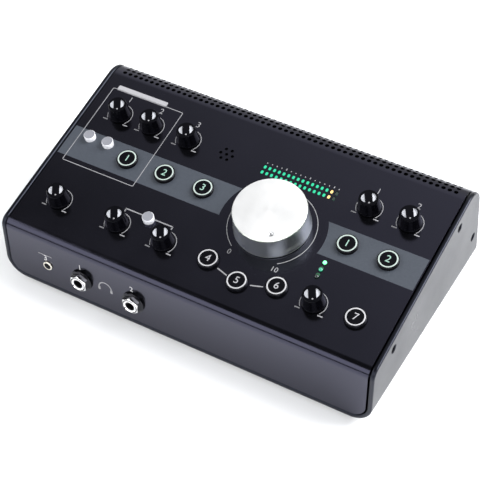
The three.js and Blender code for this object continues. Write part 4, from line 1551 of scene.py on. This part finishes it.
@dataclass
class VolumeDial:
    """The large turned knob."""

    base_radius: float = 26.9
    top_radius: float = 25.4
    height: float = 18.85
    lift: float = 0.4
    skin: float = 2.4
    dimple_from_axis: float = 19.7
    dimple_turn: float = 150.0
    dimple_radius: float = 2.1
    dimple_depth: float = 1.0

    def build(self) -> None:
        """Makes the knob and finishes its shaft."""
        base, top, lift, height = self.base_radius, self.top_radius, self.lift, self.height
        flank = [
            (top - self.skin, height - self.skin),
            (base - self.skin, lift),
            (base - 0.35, lift),
            (base, lift + 0.35),
            (base, lift + 0.9),
            (base - 0.12, lift + 1.1),
            (top + 0.45, height - 0.8),
            (top + 0.3, height - 0.3),
            (top, height - 0.05),
        ]
        mould = Mould().lathe([(0, height - self.skin), flank[0]], 128, 1)
        mould.lathe(soften(flank, 0.2, 2), 128, 1)
        mould.lathe([flank[-1], (top - 0.3, height), (0, height)], 128, 0).weld()
        # Finish 2, bare steel, goes on the dimple's bowl only: painted shade, greyer than the bright top.
        paints = (Finish.DIAL_METAL.material, Finish.DIAL_FLANK.material, Finish.STEEL.material)
        made = mould.cast("volume_dial", *paints)
        carve(made, self.dimple())
        crease(made, 30)
        place = at_node("volume_knob", FRAMES.panel())
        seat(made, place, "knob_metal", "volume_knob", body="volume_knob_body")
        repaint("volume_shaft", Finish.STEEL)

    def dimple(self) -> Mould:
        """Round cutter of the finger dimple, whose bowl gets the greyer bare steel as painted shade.

        Returns:
            The cutter, on the dial's axis.
        """
        ball = (self.dimple_radius**2 + self.dimple_depth**2) / (2 * self.dimple_depth)
        middle = self.height - self.dimple_depth + ball
        bowl = [(x, middle + y) for x, y in arc((0, 0), ball, -90, 0, 10)]
        at = polar(self.dimple_from_axis, 90 - self.dimple_turn)
        # Finish 2 puts the greyer bare steel in the bowl as painted shade.
        return Mould().lathe([(0, bowl[0][1]), *bowl[1:], (ball, middle + 2), (0, middle + 2)], 40, 2, at)


# Small knobs


@dataclass
class SmallKnobs:
    """Nine tapered knobs with two polished scoops beside the pointer ridge."""

    skirt_radius: float = 8.4
    shoulder_radius: float = 6.8
    top_radius: float = 6.4
    height: float = 12.0
    lift: float = 0.8
    ridge: float = 5.2
    scoop_radius: float = 3.7
    scoop_centre: float = 1.4
    scoop_tilt: float = 12.0
    scoop_depth: float = 0.4
    dot_radius: float = 0.6
    dot_from_axis: float = 4.1
    turn: float = 150.0

    def build(self) -> None:
        """Makes one knob for each node."""
        model = self.model()
        for node in PanelPrint.knob_nodes:
            made = add_object(f"{node}_moulded", model.data.copy())
            place = at_node(node, FRAMES.panel(), 0, self.turn)
            seat(made, place, "dark_gloss", node, body=f"{node}_body")
            repaint(node.replace("knob", "shaft"), Finish.STEEL)
        bpy.data.objects.remove(model)

    def model(self) -> Piece:
        """Moulds the pattern of the knob with its pointer up the local Y axis.

        Returns:
            The pattern that all nine are copied from.
        """
        top = (self.top_radius, self.height)
        skin = [
            (0, 9.5),
            (3.3, 9.5),
            (3.3, self.lift),
            (self.skirt_radius, self.lift),
            (self.skirt_radius, self.lift + 1.0),
            (self.skirt_radius - 0.25, self.lift + 1.35),
            (self.shoulder_radius, self.height - 0.5),
            top,
        ]
        mould = Mould().lathe(soften(skin, 0.25, 2), 72).lathe([top, (0, self.height)], 72, 1).weld()
        finishes = (Finish.KNOB_BODY, Finish.KNOB_TOP, Finish.SCOOP, Finish.WHITE_INK)
        made = mould.cast("knob_pattern", *(finish.material for finish in finishes))
        for turn in (0, math.pi):
            carve(made, self.scoop().move(Matrix.Rotation(turn, 4, "Z")))
        disc = rod(self.dot_radius, self.height - 0.4, self.height + 0.02)
        carve(made, Mould().lathe(disc, 24, 3, (0, self.dot_from_axis)), Carving.JOIN)
        crease(made, 30)
        return made

    def scoop(self) -> Mould:
        """Cutter of the D shaped scoop on the right of the ridge.

        Returns:
            The cutter.
        """
        half = self.ridge / 2
        reach = math.degrees(math.acos((half - self.scoop_centre) / self.scoop_radius))
        outline = arc((self.scoop_centre, 0), self.scoop_radius, -reach, reach, 28)
        lean = Matrix.Rotation(math.radians(self.scoop_tilt), 4, "Y")
        tilt = Matrix.Translation((half, 0, self.height)) @ lean
        return Mould().prism(outline, -self.scoop_depth, 3, 2).move(tilt @ Matrix.Translation((-half, 0, 0)))


# Buttons


@dataclass
class RoundButtons:
    """Round caps with a light ring, lit green where they choose a source or a monitor."""

    radius: float = 7.6
    ring_radius: float = 6.7
    ring_inner: float = 5.75
    height: float = 3.0
    flange_radius: float = 8.6
    flange_top: float = -1.8
    flange_thick: float = 1.2
    sign_size: float = 5.6
    lit: tuple[str, str] = ("source", "monitor")
    signs: tuple[tuple[str, str], ...] = (
        ("source_button_1", "1"),
        ("source_button_2", "2"),
        ("source_button_3", "3"),
        ("monitor_button_1", "1"),
        ("monitor_button_2", "2"),
        ("mono_button", "4"),
        ("mute_button", "5"),
        ("dim_button", "6"),
        ("talkback_button", "7"),
    )

    def build(self) -> None:
        """Makes all nine."""
        face = FRAMES.panel()
        for node, text in self.signs:
            green, body = node.startswith(self.lit), f"{node}_body"
            made = self.cap(f"{node}_cap", Finish.RING_GREEN if green else Finish.RING_WHITE)
            seat(made, at_node(node, face), "dark_gloss", node, body=body)
            sign = Finish.SIGN_GREEN if green else Finish.SIGN_WHITE
            place = at_node(node, face, self.height - 0.3)
            print_number(f"{node}_sign", text, self.sign_size, place, sign, "white_cap", body)

    def cap(self, name: str, ring: Finish) -> Piece:
        """Turns one cap with its ring.

        Args:
            name: Name of the object.
            ring: Finish of the light ring.

        Returns:
            The cap, on its own axis.
        """
        outer, inner, top = self.ring_radius, self.ring_inner, self.height
        body = [
            (0, self.flange_top - self.flange_thick),
            (self.flange_radius, self.flange_top - self.flange_thick),
            (self.flange_radius, self.flange_top),
            (self.radius, self.flange_top),
            (self.radius, top - 0.6),
            (outer, top - 0.05),
        ]
        band = [(outer, top - 0.05), (outer - 0.1, top), (inner + 0.1, top), (inner, top - 0.1)]
        face = [(inner, top - 0.1), (inner - 0.12, top - 0.32), (0, top - 0.32)]
        mould = Mould().lathe(soften(body, 0.15, 2), 72).lathe(band, 72, 1).lathe(face, 72).weld()
        return mould.cast(name, Finish.CAP_BLACK.material, ring.material)


@dataclass
class PushButtons:
    """Three small white latching buttons, whose tops are painted grey as shade."""

    radius: float = 4.2
    height: float = 4.0
    below: float = 3.0
    nodes: tuple[str, ...] = ("input_push_1", "input_push_2", "headphone_push")

    def build(self) -> None:
        """Makes all three, each with its shadow groove below the rim."""
        rim, groove, high = self.radius, self.radius - 0.45, self.height
        side = [
            (0, -self.below),
            (rim, -self.below),
            (rim, high - 1.35),
            (groove, high - 1.25),
            (groove, high - 0.95),
            (rim, high - 0.85),
            (rim, high - 0.25),
            (rim - 0.35, high),
        ]
        top = [side[-1], (rim - 1.2, high - 0.15), (0, high - 0.3)]
        for node in self.nodes:
            mould = Mould().lathe(soften(side, 0.3), 56).lathe(top, 56, 1).weld()
            # The top takes the grey finish: painted shade, darker than the white sides.
            made = mould.cast(f"{node}_cap", Finish.CAP_WHITE.material, Finish.CAP_TOP_PAINTED_SHADE.material)
            seat(made, at_node(node, FRAMES.panel()), "white_cap", node, body=f"{node}_body")


# Lights on the panel


@dataclass
class PanelLights:
    """Level lights, status lamps and the microphone behind its holes."""

    columns: int = 16
    pitch: float = 3.72
    row_pitch: float = 4.66
    wide: float = 1.8
    tall: float = 2.6
    lit: int = 14
    lamp_x: float = 78.2
    lamp_rows: tuple[float, ...] = (-13.2, -19.2, -25.0)
    lamp_radius: float = 1.4

    def lamp_places(self) -> list[Point]:
        """Places of the status lamps on the slope."""
        return [(self.lamp_x, y) for y in self.lamp_rows]

    def windows(self) -> list[tuple[float, float, int]]:
        """Places of the level lights on the slope, with their columns.

        Returns:
            Across, up the slope and column of each light.
        """
        middle = FRAMES.centre("meter_light_guide", FRAMES.panel())
        first = middle.x - (self.columns - 1) / 2 * self.pitch
        rows = (middle.y - self.row_pitch / 2, middle.y + self.row_pitch / 2)
        return [(first + self.pitch * column, y, column) for y in rows for column in range(self.columns)]

    def build(self) -> None:
        """Makes the lenses and lamps."""
        face = FRAMES.panel()
        repaint("meter_light_guide", Finish.LENS)
        repaint("mic_capsule", Finish.FOAM)
        paints = (Finish.LAMP_GREEN.material, Finish.LAMP_AMBER.material, Finish.LAMP_OFF.material)
        mould = Mould()
        for x, y, column in self.windows():
            which = 0 if column < self.lit else 1 if column == self.lit else 2
            mould.prism(rounded_rectangle(self.wide, self.tall, 0.8, 5), -0.32, -0.06, which, (x, y))
        seat(mould.cast("level_lenses", *paints), on_face(face), "green_lens")
        rim = self.lamp_radius
        dome = soften([(0, 0.45), (rim, 0.45), (rim, 0.6), (1.2, 1.15), (0.6, 1.4), (0, 1.48)], 0.2)
        lamps = (Finish.LAMP_BRIGHT, Finish.LAMP_DIM, Finish.LAMP_OFF)
        for k, (place, finish) in enumerate(zip(self.lamp_places(), lamps)):
            made = Mould().lathe(dome, 32).cast(f"status_lamp_{k + 1}", finish.material)
            seat(made, on_face(face, *place), "green_lens")


# Sockets


@dataclass
class FrontSockets:
    """Headphone sockets with nuts and collars, and the small socket."""

    up: float = 23.0
    across_flats: float = 12.4
    nut_front: float = 5.4
    collar_radius: float = 8.6
    collar_thick: float = 1.6
    bore: float = 3.3
    deep: float = -20.0
    block: tuple[float, float, float] = (15, 14, 0.6)

    def build(self) -> None:
        """Makes all three sockets."""
        face = FRAMES.front()
        for i in (1, 2):
            place = on_face(face, FRAMES.centre(f"headphone_nut_{i}", face).x, self.up)
            seat(self.socket(f"headphone_socket_{i}"), place, "dark_plastic", f"headphone_jack_{i}")
            seat(self.nut(f"headphone_nut_{i}_turned"), place, "bright_metal", f"headphone_nut_{i}")
        place = on_face(face, FRAMES.centre("small_input_jack", face).x, self.up)
        seat(self.small("small_socket"), place, "bright_metal", "small_input_jack")

    def socket(
        self, name: str, nose: float = 4.95, front: float = 5.0, extra: Iterable[Finish] = ()
    ) -> Piece:
        """Body and bright nose of a quarter inch socket with its bore.

        Args:
            name: Name of the object.
            nose: Radius of the nose.
            front: How far the nose stands out of the panel.
            extra: Finishes for pieces that are joined to it later.

        Returns:
            The socket, on the axis of its nose.
        """
        paints = [f.material for f in (Finish.SOCKET, Finish.NUT, Finish.BRASS, *extra)]
        bore, deep, lip = self.bore, self.deep, self.bore + 0.35
        skin = [(bore, deep), (nose, deep), (nose, front - 0.3), (nose - 0.3, front), (lip, front)]
        mould = Mould().lathe(skin, 64, 1)
        mould.lathe([(lip, front), (bore, front - 0.35), (bore, deep)], 64)
        mould.lathe(rod(bore + 0.2, deep - 0.3, deep + 0.1), 32)
        mould.prism(rounded_rectangle(*self.block, 2), deep - 1.6, deep - 0.3)
        mould.prism(rounded_rectangle(1.6, 0.5, 0.2, 3), -9, -4, 2, (0, bore - 0.25))
        made = mould.weld().cast(name, *paints)
        shell = Mould().prism(rounded_rectangle(*self.block, 2), deep - 0.5, -1.8).cast("block", *paints)
        carve(shell, Mould().lathe(rod(nose - 0.05, -30, 5)))
        carve(made, shell, Carving.JOIN)
        crease(made, 30)
        return made

    def nut(self, name: str) -> Piece:
        """Hexagon nut with a chamfered front and a thin collar.

        Args:
            name: Name of the object.

        Returns:
            The nut, on the axis of its bore.
        """
        flats, front, rim = self.across_flats, self.nut_front, self.collar_radius
        paints = (Finish.NUT.material, Finish.SOCKET.material, Finish.NUT_FLAT.material)
        # Finish 2, the dark copy of the plating, goes on the hexagon's flats and the collar: painted shade
        # on the plated flats.
        made = Mould().prism(hexagon(flats), 1.2, front, 2).cast(name, *paints)
        wide = hexagon_reach(flats) + 1
        nose = [(flats / 2 - 0.35, front + 0.02), (0, front + 0.02)]
        carve(made, Mould().lathe([(0, 1.0), (wide, 1.0), (wide, front - 1.6), *nose], 96), Carving.KEEP)
        carve(made, Mould().lathe(rod(5.15, -5, 9)))
        thick = self.collar_thick
        collar = [(5.2, 0.3), (rim, 0.3), (rim, thick - 0.3), (rim - 0.4, thick), (5.2, thick)]
        carve(made, Mould().lathe(collar, 72, 2, closed=True), Carving.JOIN)
        return made

    def small(self, name: str) -> Piece:
        """Ring and bore of the small socket.

        Args:
            name: Name of the object.

        Returns:
            The socket, on the axis of its bore.
        """
        ring = [(1.8, -14), (2.95, -14), (2.95, 0.3), (3.7, 0.3), (3.7, 0.8), (3.4, 1.1), (2.7, 1.1)]
        mould = Mould().lathe(ring).lathe([(2.7, 1.1), (2.35, 0.4), (1.8, -0.2), (1.8, -14)], 64, 1).weld()
        mould.lathe(rod(2.6, -14.2, -13.6), 32, 1)
        mould.prism(rounded_rectangle(11, 10, 0.5, 2), -15.8, -14.3, 1)
        return mould.cast(name, Finish.BRASS.material, Finish.SOCKET.material)


@dataclass
class RearSockets:
    """Sockets, switch, screws and plain numbers of the rear panel."""

    seat_height: float = 0.3
    up: float = 34.3
    nose: float = 4.5
    nose_front: float = 4.35
    nut_flats: float = 13.0
    nut_front: float = 2.5
    thread_pitch: float = 0.5
    plate: tuple[float, float] = (26.0, 31.0)
    plate_front: float = 2.3
    barrel: float = 11.7
    groove: tuple[float, float] = (7.9, 9.7)
    groove_deep: float = 11.0
    contact_circle: float = 5.6
    contact_hole: float = 1.3
    contact_turns: tuple[int, ...] = (180, 270, 0)
    deep: float = 21.8
    flange_screw: Point = (9.7, 12.3)
    inlet_radius: float = 4.6
    inlet_bore: float = 3.15
    inlet_front: float = 0.6
    frame: tuple[float, float] = (15.0, 21.0)
    frame_body: tuple[float, float] = (12.8, 18.6)
    frame_well: tuple[float, float] = (10.0, 15.6)
    frame_front: float = 1.8
    rocker: tuple[float, float] = (9.2, 13.6)
    rocker_rise: float = 2.2
    rocker_valley: float = 0.7
    rocker_drop: float = 3.0
    rocker_tilt: float = 9.0
    pivot: float = 1.2
    screw_x: tuple[float, ...] = (134.0, 127.0)
    screw_up: tuple[float, ...] = (58.0, 11.0)
    number_size: float = 4.4
    number_up: float = 46.8
    combo_number_up: float = 54.6
    line_up: float = 22.6

    def build(self) -> None:
        """Makes everything on the rear."""
        face = FRAMES.rear()
        jacks = [f"monitor_out_jack_{i}" for i in range(1, 5)] + ["line_in_jack_1", "line_in_jack_2"]
        for node in jacks:
            self.put(self.line_jack(f"{node}_turned"), node, face)
        for node in ("combo_jack_1", "combo_jack_2"):
            self.put(self.combo(f"{node}_moulded"), node, face)
        self.put(self.inlet("power_inlet_moulded"), "power_inlet", face)
        self.put(self.housing("power_switch_frame"), "power_switch_housing", face)
        self.rocker_cap(face)
        self.data_port(face)
        screws = [(x * way, y) for x, y in zip(self.screw_x, self.screw_up) for way in (-1, 0, 1)]
        for k, (x, y) in enumerate(screws):
            seat(self.pan_head(f"rear_screw_{k + 1}", 2.7), on_face(face, x, y), "dark_plastic")
        self.prints(face)

    def place(self, node: str, face: Matrix, z: float = 0.0) -> Matrix:
        """The place of a node on the row of sockets."""
        return on_face(face, FRAMES.centre(node, face).x, self.up, z)

    def put(self, made: Piece, node: str, face: Matrix) -> None:
        """Seats a piece on the axis of the node that it replaces."""
        seat(made, self.place(node, face), "dark_plastic", node)

    def line_jack(self, name: str) -> Piece:
        """Quarter inch socket with washer, nut and threaded nose.

        Args:
            name: Name of the object.

        Returns:
            The socket, on the axis of its bore.
        """
        front, nose, bore = self.nut_front, self.nose, FrontSockets.bore
        made = FrontSockets().socket(name, nose - 0.1, self.nose_front, (Finish.STEEL, Finish.NUT_FLAT))
        # The whole nut takes finish 4, the dark copy of the nut plating that is painted shade on the front
        # nuts.
        nut = Mould().prism(hexagon(self.nut_flats), 0.45, front, 4).cast("line_nut", *made.data.materials)
        reach = hexagon_reach(self.nut_flats)
        cone = [(0, 0.2), (reach - 0.5, 0.2), (reach + 0.1, 0.8), (reach + 0.1, 1.9)]
        cone += [(self.nut_flats / 2 - 0.3, front + 0.02), (0, front + 0.02)]
        carve(nut, Mould().lathe(cone, 72, 4), Carving.KEEP)
        carve(made, nut, Carving.JOIN)
        washer = [(0, 0.05), (7.9, 0.05), (7.9, 0.4), (7.7, 0.5), (0, 0.5)]
        carve(made, Mould().lathe(washer, 72, 3), Carving.JOIN)
        carve(made, Mould().lathe(rod(bore, -15, 9)))
        turns = Mould()
        for z in (front + 0.3 + self.thread_pitch * k for k in range(3)):
            turn = [(nose - 0.3, z), (nose, z + 0.15), (nose, z + 0.25), (nose - 0.3, z + 0.4)]
            turns.lathe(turn, 64, 4, closed=True)
        carve(made, turns, Carving.JOIN)
        crease(made, 30)
        return made

    def combo(self, name: str) -> Piece:
        """Combination socket with its flange, ring groove, contacts, latch and two screws.

        Args:
            name: Name of the object.

        Returns:
            The socket, on the axis of its middle bore.
        """
        paints = (Finish.SOCKET.material, Finish.BRASS.material, Finish.STEEL.material)
        outline = rounded_rectangle(*self.plate, 4.0, 8)
        made = Mould().prism(outline, self.seat_height, self.plate_front).cast(name, *paints)
        carve(made, Mould().lathe(rod(self.barrel, -self.deep, 0.9), 96), Carving.JOIN)
        floor = self.plate_front - self.groove_deep
        carve(made, Mould().lathe(tube(*self.groove, floor, 5), 96, closed=True))
        holes = Mould().lathe(rod(3.3, -20, 5), 48)
        contacts = [polar(self.contact_circle, turn) for turn in self.contact_turns]
        for at in contacts:
            holes.lathe(rod(self.contact_hole, floor, 5), 24, 0, at)
        x, y = self.flange_screw
        for at in ((-x, y), (x, -y)):
            holes.lathe(rod(2.75, 1.3, 5), 32, 0, at)
        carve(made, holes)
        crease(made, SHARP, 0.22)
        extra = Mould().prism(rounded_rectangle(8.4, 3.4, 0.8, 4), 1.5, 3.05, 0, (0, 13.0), 0.3)
        for at in contacts:
            pin = [(0, floor - 1), (0.95, floor - 1), (0.95, -2.5), (0, -2.2)]
            extra.lathe(soften(pin, 0.3), 24, 1, at)
        carve(made, extra, Carving.JOIN)
        for at in ((-x, y), (x, -y)):
            screw = self.pan_head("combo_screw", 2.4)
            screw.data.transform(Matrix.Translation(Vector((*at, 1.25)) * MM))
            for face in screw.data.polygons:
                face.material_index = 2
            carve(made, screw, Carving.JOIN)
        crease(made)
        return made

    def inlet(self, name: str) -> Piece:
        """Power inlet with a bright pin in a round bore.

        Args:
            name: Name of the object.

        Returns:
            The inlet, on the axis of its pin.
        """
        front, bore, rim = self.inlet_front, self.inlet_bore, self.inlet_radius
        wall = [(bore, -9), (bore, front - 0.3), (bore + 0.3, front)]
        wall += [(rim - 0.3, front), (rim, front - 0.3), (rim, -9)]
        pin = [(0, -9), (0.95, -9), (0.95, front - 1.5), (0.4, front - 1.0), (0, front - 1.0)]
        mould = Mould().lathe(wall, closed=True)
        mould.lathe(rod(bore + 0.5, -9.4, -8.8), 40)
        mould.lathe(soften(pin, 0.3), 32, 1)
        mould.prism(rounded_rectangle(11, 12, 0.5, 2), -self.deep, -9.3)
        return mould.cast(name, Finish.SOCKET.material, Finish.NUT.material)

    def housing(self, name: str) -> Piece:
        """Framed well of the power switch.

        Args:
            name: Name of the object.

        Returns:
            The frame with its well.
        """
        outline = rounded_rectangle(*self.frame, 1.0, 4)
        made = Mould().prism(outline, self.seat_height, self.frame_front).cast(name, Finish.SOCKET.material)
        body = rounded_rectangle(*self.frame_body, 0.5, 2)
        carve(made, Mould().prism(body, -self.deep, 1.0), Carving.JOIN)
        carve(made, Mould().prism(rounded_rectangle(*self.frame_well, 0.4, 3), self.frame_front - 7.5, 4))
        crease(made, SHARP, 0.3, 3)
        return made

    def rocker_cap(self, face: Matrix) -> None:
        """Rocker with a bar on one half and a ring on the other.

        Args:
            face: Frame of the face.
        """
        wide, tall = self.rocker
        half, low, rise = tall / 2, -self.rocker_drop, self.rocker_rise
        shape = [(-half, rise), (-half, 0), (-half / 2, low), (half / 2, low), (half, 0), (half, rise)]
        block = Mould().prism([*shape, (0, self.rocker_valley)], -wide / 2, wide / 2)
        upright = axes((0, 1, 0), (0, 0, 1), (0, 0, 0))
        piece = block.move(upright).cast("power_rocker", Finish.CAP_BLACK.material)
        crease(piece, 25, 0.35, 3)
        tip = Matrix.Rotation(math.radians(self.rocker_tilt), 4, "X")
        place = self.place("power_switch_housing", face, self.pivot) @ tip
        body = "power_switch_rocker_body"
        seat(piece, place, "dark_gloss", "power_switch_rocker", body=body)
        lean = math.atan2(rise - self.rocker_valley, half)
        bar = Mould().prism(rounded_rectangle(0.6, 2.6, 0.2, 3), -0.05, 0.03)
        ring = Mould().lathe(tube(1.0, 1.5, -0.05, 0.03), 40, closed=True)
        for name, mark, side in (("rocker_bar", bar, -1), ("rocker_ring", ring, 1)):
            where = Matrix.Translation(Vector((0, side * half / 2, (rise + self.rocker_valley) / 2)) * MM)
            made = mark.cast(name, Finish.BRIGHT_INK.material)
            seat(made, place @ where @ Matrix.Rotation(side * lean, 4, "X"), "white_cap", body=body)

    def data_port(self, face: Matrix) -> None:
        """Finishes the square data port and gives it its tongue.

        Args:
            face: Frame of the face.
        """
        repaint("usb_port", Finish.STEEL)
        tongue = Mould().prism(rounded_rectangle(5.8, 3.4, 0.3, 3), -8.2, -0.3, edge=0.2)
        for at in ((x, y) for x in (-1.25, 1.25) for y in (-1.75, 1.75)):
            tongue.prism(rounded_rectangle(1.1, 0.3, 0.1, 2), -8, -1.0, 1, at)
        made = tongue.cast("usb_tongue", Finish.CAP_WHITE.material, Finish.BRASS.material)
        seat(made, self.place("usb_port", face), "white_cap")

    def pan_head(self, name: str, radius: float) -> Piece:
        """Pan head screw with a cross recess, seated at the local zero.

        Args:
            name: Name of the object.
            radius: Radius of the head.

        Returns:
            The screw.
        """
        neck = radius - 0.6
        head = [(0, -0.6), (neck, -0.6), (neck, 0), (radius, 0), (radius, 0.35)]
        head += [(radius * 0.72, 1.0), (0, 1.15)]
        made = Mould().lathe(soften(head, 0.3), 40).cast(name, Finish.BLACKENED.material)
        recess(made, 35, 3.0, 0.56, 0.25, 2)
        return made

    def prints(self, face: Matrix) -> None:
        """Plain numbers over the sockets and lines under the pairs of line sockets.

        Args:
            face: Frame of the face.
        """
        groups = (
            ("monitor_out_jack", 4, self.number_up),
            ("line_in_jack", 2, self.number_up),
            ("combo_jack", 2, self.combo_number_up),
        )
        lines = Mould()
        for kind, count, up in groups:
            middles = [FRAMES.centre(f"{kind}_{i + 1}", face).x for i in range(count)]
            for i, x in enumerate(middles):
                place = on_face(face, x, up)
                name = f"rear_{kind}_number_{i + 1}"
                print_number(name, str(i + 1), self.number_size, place, Finish.WHITE_INK)
            if kind != "combo_jack":
                for a, b in zip(middles[::2], middles[1::2]):
                    PanelPrint().bar(lines, (a - 6, self.line_up), (b + 6, self.line_up), 0.6)
        PanelPrint().lay(lines, "rear_lines", face, Finish.WHITE_INK)


def main() -> None:
    """Builds the controller in order."""
    logging.basicConfig(level=logging.INFO, format="%(name)s: %(message)s")
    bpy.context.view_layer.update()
    Studio().build()
    panel = (PanelPrint, VolumeDial, SmallKnobs, RoundButtons, PushButtons, PanelLights)
    for part in (Case, *panel, FrontSockets, RearSockets):
        part().build()
        log.info("built %s", part.__name__)


if __name__ == "__main__":
    main()
